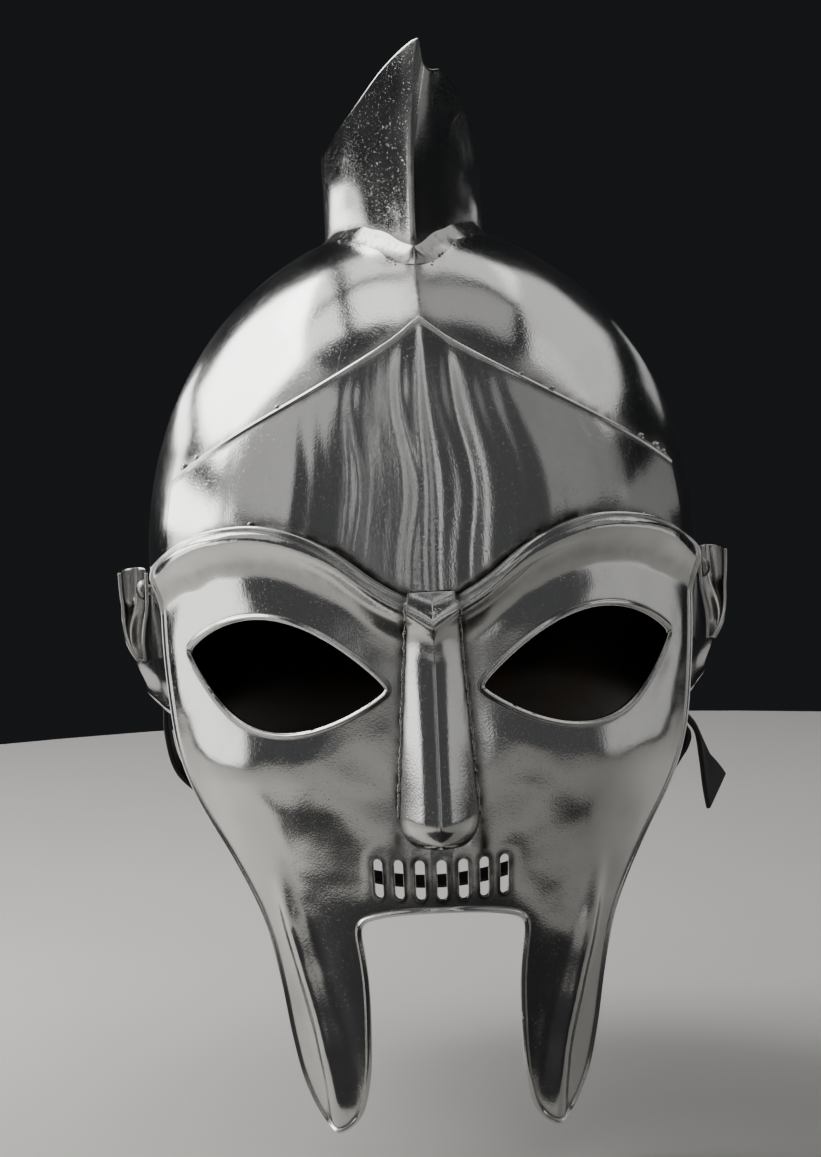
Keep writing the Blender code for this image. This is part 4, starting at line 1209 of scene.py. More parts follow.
def solder_run(bm, line, normals, radius, seed, flat=0.62, spread=1.15, ragged=1.0):
    """A run of solder along a line, low on the surface that it lies on."""
    part = grid_of(len(line) - 1, RUN_ROUNDS)
    places = coordinates(part)
    at = np.rint(places[:, 0] * (len(line) - 1)).astype(int)
    turn = places[:, 1] * 2 * pi
    ahead = np.gradient(line, axis=0)
    across = cross_unit(ahead, normals)
    lumps = [(radius * length, part_of) for length, part_of in RUN_SWELLS]
    swell = 1 + ragged * dent_field(line, lumps, seed)
    size = radius * np.clip(swell, *RUN_LIMITS) * run_taper(np.linspace(0, 1, len(line)))
    points = line[at] + size[at, None] * (
        across[at] * np.cos(turn)[:, None] * spread + normals[at] * np.sin(turn)[:, None] * flat
    )
    place(part, points)
    close_up(part)
    join(bm, part)


def fillet_run(bm, line, outward, seed):
    """A run of solder that fills the corner between the skull and the crest's outer face."""
    part = grid_of(len(line) - 1, FILLET_ROUNDS + 2)
    places = coordinates(part)
    at = np.rint(places[:, 0] * (len(line) - 1)).astype(int)
    step = np.rint(places[:, 1] * (FILLET_ROUNDS + 2)).astype(int)
    out = np.linspace(0, 1, FILLET_ROUNDS)
    rise = (1 - out) ** FILLET_HOLLOW - FILLET_SINK * out**2
    out = np.concatenate((out, (1.0, 0.0, 0.0)))
    rise = np.concatenate((rise, (-FILLET_UNDER, -FILLET_UNDER, 1.0)))
    share = np.linspace(0, 1, len(line))
    taper = run_taper(share)
    narrower, over = FILLET_NARROW
    width = FILLET_WIDTH * (1 + dent_field(line, FILLET_WIDENS, seed))
    width *= 1 - narrower * bump(share - 0.5, over)
    height = FILLET_HEIGHT * (1 + dent_field(line, FILLET_SWELLS, seed + 2))
    pace = np.linalg.norm(np.gradient(line, axis=0), axis=1).mean()
    reach = int(3 * PROW_TURN / pace)
    weights = np.exp(-((np.arange(-reach, reach + 1) * pace / PROW_TURN) ** 2))
    padded = np.pad(outward[:, :2], ((reach, reach), (0, 0)), mode="edge")
    turned = np.stack([np.convolve(padded[:, i], weights, mode="valid") for i in (0, 1)], axis=-1)
    turned /= np.linalg.norm(turned, axis=1)[:, None]
    x, y = (line[at, :2] + turned[at] * (out[step] * (width * taper)[at])[:, None]).T
    place(part, stack(x, y, CROWN_Z + crown_height(x, y) + rise[step] * (height * taper)[at]))
    close_up(part)
    join(bm, part)


def solder_drop(bm, seat, normal, size, seed, flat=0.55):
    """A cooled drop of solder that sits on a surface."""
    drop = bmesh.new()
    bmesh.ops.create_icosphere(drop, subdivisions=3, radius=1.0)
    points = coordinates(drop)
    points *= (1 + dent_field(points, DROP_LUMPS, seed))[:, None]
    place(drop, points)
    turn = Vector(normal).to_track_quat("Z", "Y").to_matrix().to_4x4()
    least, more = DROP_OVAL
    width = size * (least + more * abs(noise.noise((seed, 0, 0))))
    scale = Matrix.Diagonal((size, width, size * flat, 1))
    bmesh.ops.transform(drop, matrix=Matrix.Translation(seat) @ turn @ scale, verts=drop.verts)
    join(bm, drop)


def join(bm, part):
    """Adds a part's shape to a bmesh and frees the part."""
    mesh = bpy.data.meshes.new("part")
    part.to_mesh(mesh)
    part.free()
    bm.from_mesh(mesh)
    bpy.data.meshes.remove(mesh)


def crown_normal(x, y):
    """Outward normal of the skull's top at a plan point."""
    length = DOME_FRONT if y < 0 else DOME_BACK
    fall = Vector((x / DOME_HALF_WIDTH**2, y / length**2, 0.0)) * DOME_DEPTH**2
    height = DOME_DEPTH + crown_height(x, y)
    return (fall + Vector((0, 0, height))).normalized()


def make_crest_solder(sizes, material):
    """A flowed fillet outside the crest's foot, a run of solder inside it and a few stray drops."""
    bm = bmesh.new()
    line, outward = crest_foot_line()
    fillet_run(bm, line, outward, seed=11)
    line, _ = crest_foot_line(INNER_INSET)
    normals = np.array([crown_normal(x, y) for x, y, _ in line])
    radius = sizes.solder_radius * INNER_SHARE
    solder_run(bm, line, normals, radius, seed=17, flat=0.85, spread=1.5, ragged=0.45)
    line, outward = crest_foot_line(STRAY_INSET)
    least, more = STRAY_SIZE
    for step in range(STRAY_DROPS):
        at = int((0.5 + 0.5 * noise.noise((step * 1.7, 0.3, 0))) * (len(line) - 1))
        off = STRAY_SCATTER * noise.noise((0.5, step * 2.3, 0.1))
        x, y = (line[at] + outward[at] * off)[:2]
        size = least + more * abs(noise.noise((step * 3.1, 1.1, 2.2)))
        seat = (x, y, CROWN_Z + float(crown_height(x, np.array(y))))
        solder_drop(bm, seat, crown_normal(x, y), size, seed=40 + step)
    return add_piece("crest_solder", bm, [material])


def make_seam_solder(sizes, material):
    """Solder beside the nasal, and drops where the frontlet's hem and the brow were tacked."""
    bm = bmesh.new()
    below, above = SEAM_ENDS
    depth = np.linspace(NASAL_TOP + below, NASAL_BOTTOM - above, SEAM_POINTS)
    share = (depth - NASAL_TOP) / (NASAL_BOTTOM - NASAL_TOP)
    radius = sizes.solder_radius * SEAM_SHARE
    for side, seed in ((-1, 61), (1, 67)):
        across = side * (mix(*NASAL_HALF_WIDTH, share) + SEAM_BESIDE)
        height = face_relief(across, depth) + SEAM_LIFT
        line = form_point(across, depth, height)
        normals = (form_point(across, depth, height + NORMAL_STEP) - line) / NORMAL_STEP
        solder_run(bm, line, normals, radius, seed, flat=0.8)
    for drops, edge, (lift, height) in (
        (HEM_DROPS, peak_depth, HEM_DROP_SET),
        (BROW_DROPS, brow_depth, BROW_DROP_SET),
    ):
        for step, (across, size) in enumerate(drops):
            across = np.array(across)
            depth = edge(across) - lift
            seat, higher = (form_point(across, depth, h) for h in (height, height + NORMAL_STEP))
            solder_drop(bm, seat, higher - seat, size, seed=80 + step, flat=DROP_FLATNESS)
    return add_piece("seam_solder", bm, [material])


# ---------------------------------------------------------------- ears
EAR_COLUMNS = 72
EAR_ROWS = 56
EAR_DENT = 0.00010
EAR_CLOSED = 1 - 1e-3               # of its depth, so that its foot stays a fold and not a point
EAR_GRIME = GrimeAndShade(0.005, 0.7)       # at its foot
DOME_STEPS = 14
RIVET_TURNS = 40
HEAD_LIP = 0.0001
HAMMERED = (0.0021, 0.05)           # how long the rivet's facets are, and their share of its radius


def ear_surface(side):
    def surface(u, level):
        run = u / (EAR_BLANK / 2) + 1
        share = np.clip(-level / (EAR_BOTTOM - EAR_TOP), 0, 1)
        spread = mix(*EAR_SPREAD, share ** EAR_TAPER[0]) / 2 - EAR_DENT
        back = mix(*EAR_BACK, share)
        leg = mix(*EAR_LEG, share ** EAR_TAPER[1])
        turn = np.clip(run, 0.0, 2.0) * pi / 2
        y = back * np.sin(turn) + leg * np.minimum(run, 0) - leg * EAR_FRONT_LEG * np.maximum(run - 2, 0)
        y = y - EAR_LEAN * share**EAR_LEAN_CURVE
        depth = mix(EAR_TOP, EAR_BOTTOM, share)
        inner_leg = side_wall(y, depth) + mix(*EAR_CLEAR, share**2) + SHEET / 2
        x = inner_leg + spread - spread * np.cos(turn)
        return stack(side * x, y, CROWN_Z - depth)

    return surface


def make_ear_guard(side, sizes, materials):
    """A folded scoop, open to the front and top and closing to a point below."""
    bm = grid_of(EAR_COLUMNS, EAR_ROWS)
    x, y, _ = coordinates(bm).T
    place(bm, stack((2 * x - 1) * EAR_BLANK, (y - 1) * (EAR_BOTTOM - EAR_TOP) * EAR_CLOSED, 0 * x))
    make_slab(bm, -SHEET / 2, SHEET / 2, sizes.edge_bevel)

    dents = ((0.012, EAR_DENT),)
    flat = lay(bm, ear_surface(side), SMALL_STEP, lambda u, v, w: flat_dents(u, v, dents, seed=31 + side))
    patina = all_grime_and_shade(grime_and_shade(flat[:, 1] + EAR_BOTTOM - EAR_TOP, EAR_GRIME))
    name = side_name(side)
    return add_piece(
        f"ear_scoop_{name}", bm, materials, (f"ear_guard_{name}",),
        {"patina": patina}, flat[:, :2],
    )


def make_rivet(side, material):
    """A turned rivet with a hammered dome outside and a peened head over the strap inside."""
    seat = skull_side() + 2.5 * GAP + SHEET
    grip = seat - (skull_side() - SHEET - STRAP_CLEAR - LEATHER - GAP)
    bm = bmesh.new()
    turns = np.linspace(0, pi / 2, DOME_STEPS)
    dome = [(HEAD_RADIUS * np.sin(turn), HEAD_HEIGHT * np.cos(turn)) for turn in turns]
    shoulder, peak = PEEN_HEIGHT
    profile = [(0.0, HEAD_HEIGHT)] + dome[1:] + [
        (HEAD_RADIUS - 2 * HEAD_LIP, -HEAD_LIP),
        (SHANK_RADIUS, -HEAD_LIP),
        (SHANK_RADIUS, -grip),
        (HEAD_RADIUS - HEAD_LIP, -grip),
        (HEAD_RADIUS, -grip - shoulder / 2),
        (HEAD_RADIUS - 3 * HEAD_LIP, -grip - shoulder),
        (HEAD_RADIUS / 2, -grip - peak * 0.95),
        (0.0, -grip - peak),
    ]
    line = [bm.verts.new((x, 0, z)) for x, z in profile]
    for a, b in zip(line, line[1:]):
        bm.edges.new((a, b))
    bmesh.ops.spin(
        bm, geom=bm.verts[:] + bm.edges[:], cent=(0, 0, 0), axis=(0, 0, 1), dvec=(0, 0, 0),
        angle=2 * pi, steps=RIVET_TURNS, use_merge=True,
    )
    close_up(bm)
    points = coordinates(bm)
    length, deep = HAMMERED
    hammered = 1 - deep * np.abs(waviness(points, length, seed=50 + side)) * (points[:, 2] > 0)
    place(bm, points * hammered[:, None])
    turn = Matrix.Rotation(side * pi / 2, 4, "Y")
    spot = Matrix.Translation((side * seat, RIVET_Y, CROWN_Z - RIVET_DEPTH))
    bmesh.ops.transform(bm, matrix=spot @ turn, verts=bm.verts)
    bmesh.ops.recalc_face_normals(bm, faces=bm.faces)
    name = side_name(side)
    return add_piece(f"hammered_rivet_{name}", bm, [material], (f"ear_rivet_{name}",))


# ---------------------------------------------------------------- straps
STRAP_BEVEL = 0.00055
STRAP_CELL = 0.0010
STRAP_STEP = 6e-4                   # over which a strap's direction is read
STRAP_SPARE = 0.0002                # cut off both ends
STRAP_FINER = 6
STRAP_WEAR = ((0.018, 0.00010),)
# how far the lighter brown reaches in from the straps' cut edges and from their ends, and over what it fades
LIGHTER_EDGE = 0.0009
LIGHTER_END = 0.0010
LIGHTER_FADE = 0.0006


def strap_line(depth):
    """x of a strap's middle where it lies along the inside of the skull."""
    return float(reaches(depth)[0]) - SHEET - STRAP_CLEAR - LEATHER / 2


def wall_run():
    """The stretch of both straps beside the skull, as (x, depth) points."""
    depths = (RIVET_DEPTH - STRAP_END, RIVET_DEPTH, RIVET_DEPTH + STRAP_ON_WALL)
    return [(strap_line(depth), depth) for depth in depths]


def chin_strap_line():
    """From the right rivet down, under the chin, over the buckle's lower bar and back along itself."""
    low_bar = BUCKLE_DEPTH + BUCKLE_HALF[1]
    clear = BUCKLE_WIRE + 2 * GAP + LEATHER / 2
    span = LOOP_HALF_SPAN - clear
    scale = span / CATENARY_SHAPE
    steepness = LOOP_SAG / (scale * (cosh(CATENARY_SHAPE) - 1))
    leaving = SIDE_RIM - STRAP_LEAVES
    path = [(-x, depth) for x, depth in wall_run()] + [(-strap_line(leaving), leaving)]
    for step in range(LOOP_STEPS + 1):
        x = mix(-span - clear, span, step / LOOP_STEPS)
        lift = steepness * scale * (cosh(min(abs(x), span) / scale) - 1)
        path.append((x, low_bar + LOOP_BELOW_BAR + LOOP_SAG - lift))
    line = smooth_line(path + [(span, low_bar)], STRAP_STEPS)
    round_bar = []
    for step in range(1, BAR_STEPS + 1):
        turn = pi * step / BAR_STEPS
        round_bar.append((LOOP_HALF_SPAN - clear * np.cos(turn), low_bar - clear * np.sin(turn)))
    returned = []
    for i in range(SEWN_START, SEWN_START + SEWN_POINTS):
        along = line[-i] - line[-i - 1]
        outward = Vector((-along.y, along.x)).normalized()
        returned.append(line[-i] + (LEATHER + 2 * GAP) * outward)
    return line + smooth_line([line[-1]] + round_bar + returned, STRAP_STEPS)[1:]


def buckle_strap_line():
    """From the left rivet behind the buckle's upper bar and out over its lower bar to the free end."""
    low_bar = BUCKLE_DEPTH + BUCKLE_HALF[1]
    high_bar = BUCKLE_DEPTH - BUCKLE_HALF[1]
    behind = LOOP_HALF_SPAN - BUCKLE_WIRE - 2 * GAP - LEATHER / 2
    outside = LOOP_HALF_SPAN + BUCKLE_WIRE + 6 * GAP + 1.5 * LEATHER
    inward, downward = ABOVE_BUCKLE
    path = wall_run() + [
        (mix(strap_line(RIVET_DEPTH), behind, inward), mix(RIVET_DEPTH, high_bar, downward)),
        (behind, high_bar),
        (mix(behind, outside, THROUGH_BUCKLE), BUCKLE_DEPTH),
    ]
    path += [(outside + point.out, low_bar + point.below) for point in FREE_END]
    return smooth_line(path, STRAP_STEPS)


def lengths_of(line):
    steps = np.hypot(*np.diff(np.array(line), axis=0).T)
    return np.r_[0, np.cumsum(steps)]


def strap_surface(line, slant=0.0, twist=0.0):
    """A strap's middle layer, read by the length along it and the distance from its middle."""
    fine = np.array(smooth_line(line, STRAP_FINER))
    lengths = lengths_of(fine)

    def surface(u, v):
        x, depth = (np.interp(u, lengths, fine[:, i]) for i in (0, 1))
        free = 1 - (lengths[-1] - u) / (BUCKLE_HALF[1] + FREE_END[-1].below)
        turn = twist * ease(free)
        y = RIVET_Y + v * np.cos(turn)
        lift = slant * (v / STRAP_WIDTH + 0.5) * np.maximum(0.0, 2 * free - 1)
        beside_wall = ease((BUCKLE_DEPTH - depth) / (BUCKLE_DEPTH - SIDE_RIM))
        bow = (DOME_HALF_WIDTH - skull_side(y)) * beside_wall
        x = x + v * np.sin(turn)
        return stack(np.where(x > 0, x - bow, x + bow), y, CROWN_Z - depth + lift)

    return surface, lengths[-1]


def make_strap(name, node, line, material, seed, slant=0.0, twist=0.0):
    surface, length = strap_surface(line, slant, twist)
    bm = grid_of(round(length / STRAP_CELL), round(STRAP_WIDTH / STRAP_CELL))
    x, y, _ = coordinates(bm).T
    place(bm, stack(mix(STRAP_SPARE, length - STRAP_SPARE, x), (y - 0.5) * STRAP_WIDTH, 0 * x))
    make_slab(bm, -LEATHER / 2, LEATHER / 2, STRAP_BEVEL, 3)
    for face in bm.faces:
        face.material_index = 0

    flat = lay(bm, surface, STRAP_STEP, lambda u, v, w: dent_field(stack(u, v, w), STRAP_WEAR, seed))
    u, v, _ = flat.T
    # the edge mask: a lighter brown along both cut edges and at the end
    edge = ease((np.abs(v) - STRAP_WIDTH / 2 + LIGHTER_EDGE) / LIGHTER_FADE)
    end = ease((u - length + LIGHTER_END) / LIGHTER_FADE)
    return add_piece(
        name, bm, [material], (node,), {"edge": np.clip(edge + end, 0, 1)}, flat[:, :2]
    )


STITCH_PITCH = 0.0034
STITCH_LENGTH = 0.0024
STITCH_RADIUS = 0.00042
STITCH_FLATNESS = 0.8
STITCH_FACES = (8, 6)               # round it and along it
STITCH_INSET = 0.0026               # from the strap's edge
STITCH_END = 0.0022                 # from the strap's end
STITCH_STEP = 0.0005                # over which the strap's direction is read
SEWN_PITCH = 0.0042                 # between two points of the strap's returned end


def make_stitches(material):
    """Two rows of waxed thread through the chin strap's returned end, seen on both faces."""
    surface, length = strap_surface(chin_strap_line())
    bm = bmesh.new()
    for side in (-1, 1):
        across = side * (STRAP_WIDTH / 2 - STITCH_INSET)
        for step in range(int(SEWN_POINTS * SEWN_PITCH / STITCH_PITCH)):
            at = length - STITCH_END - step * STITCH_PITCH
            here, ahead, beside = (
                Vector(surface(np.array(u), np.array(v)))
                for u, v in ((at, across), (at + STITCH_STEP, across), (at, across + STITCH_STEP))
            )
            along = (ahead - here).normalized()
            normal = along.cross(beside - here).normalized()
            turn = Matrix((along, normal.cross(along), normal)).transposed().to_4x4()
            scale = Matrix.Diagonal((STITCH_LENGTH / 2, STITCH_RADIUS, STITCH_RADIUS * STITCH_FLATNESS, 1))
            # the outer face is this end's own, and the inner face that of the strap under it
            for face, out in ((-1, LEATHER * 1.5 + 2 * GAP), (1, LEATHER / 2)):
                spot = Matrix.Translation(here + normal * face * out)
                bmesh.ops.create_uvsphere(
                    bm, u_segments=STITCH_FACES[0], v_segments=STITCH_FACES[1], radius=1.0,
                    matrix=spot @ turn @ scale,
                )
    return add_piece("strap_stitches", bm, [material])


BUCKLE_COLUMNS = 144
BUCKLE_ROUNDS = 16
BUCKLE_TURN_STEPS = 10              # in each corner
BUCKLE_STEP = 2e-4                  # over which the wire's direction is read
BUCKLE_UNEVEN = 0.03                # of the wire's radius


def buckle_frame():
    """The middle of the buckle's wire, across and up from the buckle's middle."""
    wide, tall = (half - BUCKLE_CORNER for half in BUCKLE_HALF)
    line = []
    for turn, (side, end) in enumerate(((1, 1), (-1, 1), (-1, -1), (1, -1))):
        for angle in np.linspace(0, pi / 2, BUCKLE_TURN_STEPS) + turn * pi / 2:
            across, up = BUCKLE_CORNER * np.cos(angle), BUCKLE_CORNER * np.sin(angle)
            line.append((side * wide + across, end * tall + up))
    return np.array(line + line[:1])


def make_buckle(material):
    """A plain frame bent from wire, brazed shut."""
    closed = buckle_frame()
    lengths = lengths_of(closed)

    def wire(at):
        return np.stack([np.interp(at % lengths[-1], lengths, closed[:, i]) for i in (0, 1)])

    bm = grid_of(BUCKLE_COLUMNS, BUCKLE_ROUNDS)
    s, t, _ = coordinates(bm).T
    at = s * lengths[-1]
    y, z = (np.interp(at, lengths, closed[:, i]) for i in (0, 1))
    ahead = wire(at + BUCKLE_STEP) - wire(at - BUCKLE_STEP)
    size = np.maximum(np.hypot(*ahead), TINY)
    out_y, out_z = ahead[1] / size, -ahead[0] / size
    angle = t * 2 * pi
    radius = BUCKLE_WIRE * (1 + BUCKLE_UNEVEN * np.sin(s * 6 * pi))
    points = stack(
        LOOP_HALF_SPAN + radius * np.sin(angle),
        RIVET_Y + y + out_y * radius * np.cos(angle),
        CROWN_Z - BUCKLE_DEPTH + z + out_z * radius * np.cos(angle),
    )
    place(bm, points)
    close_up(bm)
    return add_piece("wire_buckle", bm, [material], ("buckle",))


# ---------------------------------------------------------------- materials
# A noise's scale is how many of its cells go into a metre: 24 gives clouds of 42 mm, 160 smears of 6 mm,
# 380 and 520 lumps of 2 to 3 mm, and 1300 specks of 0.8 mm. A bump's distance is its height in metres.


def feed(tree, node, inputs):
    """Sets sockets. Inputs maps a socket's name or number to a value or to another node's output."""
    for key, value in inputs.items():
        if isinstance(value, bpy.types.NodeSocket):
            tree.links.new(value, node.inputs[key])
        else:
            node.inputs[key].default_value = value


def add(tree, kind, inputs=None, **settings):
    """Adds a node with its settings, values and links."""
    node = tree.nodes.new(kind)
    for key, value in settings.items():
        setattr(node, key, value)
    feed(tree, node, inputs or {})
    return node


def new_material(name):
    material = bpy.data.materials.new(name)
    material.use_nodes = True
    tree = material.node_tree
    tree.nodes.clear()
    shader = add(tree, "ShaderNodeBsdfPrincipled")
    add(tree, "ShaderNodeOutputMaterial", {"Surface": shader.outputs[0]})
    return material, tree, shader


def colour4(colour):
    return (*colour, 1.0)


# Scratches: which way each kind runs, and how long it is. They are drawn as fine as shows.
SCRATCHES = (((0.4, 0.9, 0.3), 0.016), ((1.2, -0.4, 1.9), 0.011), ((-0.7, 0.2, 2.6), 0.022))
SCRATCH_WIDTH = 0.0005
WHEEL_LINE = (0.0008, 0.040, 0.040)  # how wide and how long a line of the polishing wheel is


def polished_steel(name, colours, lines_on_sheet):
    """Mild steel sheet, planished and buffed on a cloth wheel: a soft mirror with fine wheel lines.

    The planisher's marks are about 1 mm across and only show as specks at the edge of a reflection. Grit
    in the wheel has left pits that are drawn as large. The wheel lines are 0.15 mm apart on the real
    sheet and are drawn at 0.8 mm, as fine as shows. Old polish and oxide stay dark in the creases, and the
    same mask lays a painted shade under the face plate's brow ridge.
    """
    material, tree, shader = new_material(name)
    spot = add(tree, "ShaderNodeTexCoord").outputs["Object"]
    # the patina mask: old polish and oxide in the creases, and on the face plate a painted shade under the
    # brow's ridge
    patina = add(tree, "ShaderNodeAttribute", attribute_name="patina").outputs["Fac"]

    cloud = add(tree, "ShaderNodeTexNoise", {"Vector": spot, "Scale": 24.0, "Detail": 4.0, "Roughness": 0.6})
    smear = add(tree, "ShaderNodeTexNoise", {"Vector": spot, "Scale": 160.0, "Detail": 3.0})

    run = add(tree, "ShaderNodeUVMap", uv_map="sheet").outputs[0] if lines_on_sheet else spot
    turn = (0.0, 0.0, 0.06) if lines_on_sheet else (0.5, 0.3, 0.9)
    stretched = add(
        tree, "ShaderNodeMapping", {"Vector": run, "Rotation": turn, "Scale": WHEEL_LINE},
        vector_type="TEXTURE",
    )
    lines = add(tree, "ShaderNodeTexNoise", {"Vector": stretched.outputs[0], "Scale": 1.0, "Detail": 3.0})

    scratches = None
    for turn, length in SCRATCHES:
        across = add(
            tree, "ShaderNodeMapping",
            {"Vector": spot, "Rotation": turn, "Scale": (SCRATCH_WIDTH, length, length)},
            vector_type="TEXTURE",
        )
        field = add(tree, "ShaderNodeTexNoise", {"Vector": across.outputs[0], "Scale": 1.0, "Detail": 1.0})
        mark = add(
            tree, "ShaderNodeMapRange",
            {"Value": field.outputs[0], "From Min": 0.72, "From Max": 0.82, "To Min": 0.0, "To Max": 1.0},
        ).outputs[0]
        if scratches is None:
            scratches = mark
        else:
            scratches = add(tree, "ShaderNodeMath", {0: scratches, 1: mark}, operation="MAXIMUM").outputs[0]

    # the dark of old polish and oxide follows the creases, and the painted shade under the brow's ridge comes
    # with it; both break up where a cloth has reached
    broken = add(
        tree, "ShaderNodeMapRange",
        {"Value": smear.outputs[0], "From Min": 0.30, "From Max": 0.62, "To Min": 0.35, "To Max": 1.0},
    )
    dark = add(tree, "ShaderNodeMath", {0: patina, 1: broken.outputs[0]}, operation="MULTIPLY").outputs[0]
    stain = add(
        tree, "ShaderNodeMapRange",
        {"Value": cloud.outputs[0], "From Min": 0.50, "From Max": 0.74, "To Min": 0.0, "To Max": 0.14},
    )
    # the patina mask with its painted shade under the brow's ridge, and the stains
    dirt_and_shade = add(
        tree, "ShaderNodeMath", {0: dark, 1: stain.outputs[0]}, operation="ADD", use_clamp=True
    ).outputs[0]
    colour = add(
        tree, "ShaderNodeMix",
        {0: dirt_and_shade, 6: colour4(colours.steel), 7: colour4(colours.patina)}, data_type="RGBA",
    )
    gloss = add(
        tree, "ShaderNodeMapRange",
        {"Value": cloud.outputs[0], "From Min": 0.30, "From Max": 0.70, "To Min": 0.07, "To Max": 0.15},
    )
    rough = gloss
    for field, more in ((lines.outputs[0], 0.06), (dark, 0.28), (scratches, 0.08)):
        rough = add(
            tree, "ShaderNodeMath", {0: field, 1: more, 2: rough.outputs[0]}, operation="MULTIPLY_ADD"
        )

    wheel = add(tree, "ShaderNodeBump", {"Height": lines.outputs[0], "Strength": 1.0, "Distance": 0.000014})
    specks = add(tree, "ShaderNodeTexNoise", {"Vector": spot, "Scale": 1300.0, "Detail": 2.0})
    planished = add(
        tree, "ShaderNodeBump",
        {"Height": specks.outputs[0], "Strength": 1.0, "Distance": 0.000034, "Normal": wheel.outputs[0]},
    )
    grit = add(
        tree, "ShaderNodeMapRange",
        {"Value": specks.outputs[0], "From Min": 0.655, "From Max": 0.74, "To Min": 0.0, "To Max": 1.0},
    )
    pitted = add(
        tree, "ShaderNodeBump",
        {"Height": grit.outputs[0], "Strength": 1.0, "Distance": 0.00002, "Normal": planished.outputs[0]},
        invert=True,
    )
    cuts = add(
        tree, "ShaderNodeBump",
        {"Height": scratches, "Strength": 1.0, "Distance": 0.000007, "Normal": pitted.outputs[0]},
        invert=True,
    )
    feed(tree, shader, {
        "Base Color": colour.outputs[2], "Roughness": rough.outputs[0], "Normal": cuts.outputs[0],
        "Metallic": 1.0,
    })
    return material


def mottled_metal(name, clean, dirty, noise_inputs, patches, gloss, bump, grain=None):
    """A bare metal that one noise darkens and dulls in patches.

    Patches and gloss are from, from, to and to of a range. Bump is a strength and a distance, and follows
    the grain, where there is one, or else the same noise.
    """
    material, tree, shader = new_material(name)
    spot = add(tree, "ShaderNodeTexCoord").outputs["Object"]
    cloud = add(tree, "ShaderNodeTexNoise", {"Vector": spot, **noise_inputs}).outputs[0]
    relief = add(tree, "ShaderNodeTexNoise", {"Vector": spot, **grain}).outputs[0] if grain else cloud
    dark, rough = (
        add(
            tree, "ShaderNodeMapRange",
            {"Value": cloud, "From Min": low, "From Max": high, "To Min": start, "To Max": end},
        )
        for low, high, start, end in (patches, gloss)
    )
    colour = add(
        tree, "ShaderNodeMix", {0: dark.outputs[0], 6: colour4(clean), 7: colour4(dirty)}, data_type="RGBA"
    )
    strength, distance = bump
    uneven = add(tree, "ShaderNodeBump", {"Height": relief, "Strength": strength, "Distance": distance})
    feed(tree, shader, {
        "Base Color": colour.outputs[2], "Roughness": rough.outputs[0], "Normal": uneven.outputs[0],
        "Metallic": 1.0,
    })
    return material


def raw_steel_and_shade(colours):
    """Hot rolled sheet as it came: grey mill scale with brown bloom, dull and slightly rough. Its colour is
    kept near black, as painted shade inside the helmet.
    """
    return mottled_metal(
        "raw_steel_and_shade", colours.inside, linear("#241D18"), {"Scale": 55.0, "Detail": 6.0, "Roughness": 0.65},
        patches=(0.40, 0.68, 0.0, 0.85), gloss=(0.30, 0.70, 0.34, 0.56), bump=(0.35, 0.0002),
        grain={"Scale": 900.0, "Detail": 3.0},
    )


def soft_solder(colours):
    """Tin solder, melted on and left: bright grey where it flowed, dark with flux residue in its pits."""
    return mottled_metal(
        "soft_solder", colours.solder, colours.patina, {"Scale": 380.0, "Detail": 4.0, "Roughness": 0.55},
        patches=(0.32, 0.42, 0.40, 0.0), gloss=(0.3, 0.7, 0.28, 0.13), bump=(0.5, 0.00010),
    )


def forged_steel(colours):
    """Mild steel wire and rivets, hammered and wiped: duller than the sheet, with dark in the hollows."""
    return mottled_metal(
        "forged_steel", colours.solder, colours.patina, {"Scale": 520.0, "Detail": 4.0},
        patches=(0.32, 0.52, 0.8, 0.0), gloss=(0.3, 0.7, 0.40, 0.22), bump=(0.35, 0.0003),
    )


PEBBLE = 0.0008                     # how wide the leather's grain is


def black_leather(colours):
    """Vegetable tanned cowhide, dyed black and waxed: a grain of 0.8 mm pebbles, and a lighter brown along
    the cut edges and the end.
    """
    material, tree, shader = new_material("black_leather")
    sheet = add(tree, "ShaderNodeUVMap", uv_map="sheet").outputs[0]
    edge = add(tree, "ShaderNodeAttribute", attribute_name="edge").outputs["Fac"]
    pebbles = add(
        tree, "ShaderNodeTexVoronoi", {"Vector": sheet, "Scale": 1 / PEBBLE}, voronoi_dimensions="2D"
    )
    creases = add(
        tree, "ShaderNodeTexNoise", {"Vector": sheet, "Scale": 260.0, "Detail": 5.0, "Roughness": 0.6}
    )
    worn = add(
        tree, "ShaderNodeMapRange",
        {"Value": creases.outputs[0], "From Min": 0.50, "From Max": 0.78, "To Min": 0.0, "To Max": 0.55},
    )
    lighter_edge_and_wear = add(
        tree, "ShaderNodeMath", {0: edge, 1: 0.85, 2: worn.outputs[0]},
        operation="MULTIPLY_ADD", use_clamp=True,
    )
    colour = add(
        tree, "ShaderNodeMix",
        {0: lighter_edge_and_wear.outputs[0], 6: colour4(colours.leather), 7: colour4(colours.leather_edge)},
        data_type="RGBA",
    )
    rough = add(
        tree, "ShaderNodeMapRange",
        {"Value": creases.outputs[0], "From Min": 0.3, "From Max": 0.7, "To Min": 0.38, "To Max": 0.60},
    )
    grain = add(tree, "ShaderNodeBump", {"Height": pebbles.outputs[0], "Strength": 0.35, "Distance": 0.0002})
    folds = add(
        tree, "ShaderNodeBump",
        {"Height": creases.outputs[0], "Strength": 0.4, "Distance": 0.0005, "Normal": grain.outputs[0]},
    )
    feed(tree, shader, {
        "Base Color": colour.outputs[2], "Roughness": rough.outputs[0], "Normal": folds.outputs[0],
        "IOR": 1.5,
    })
    return material


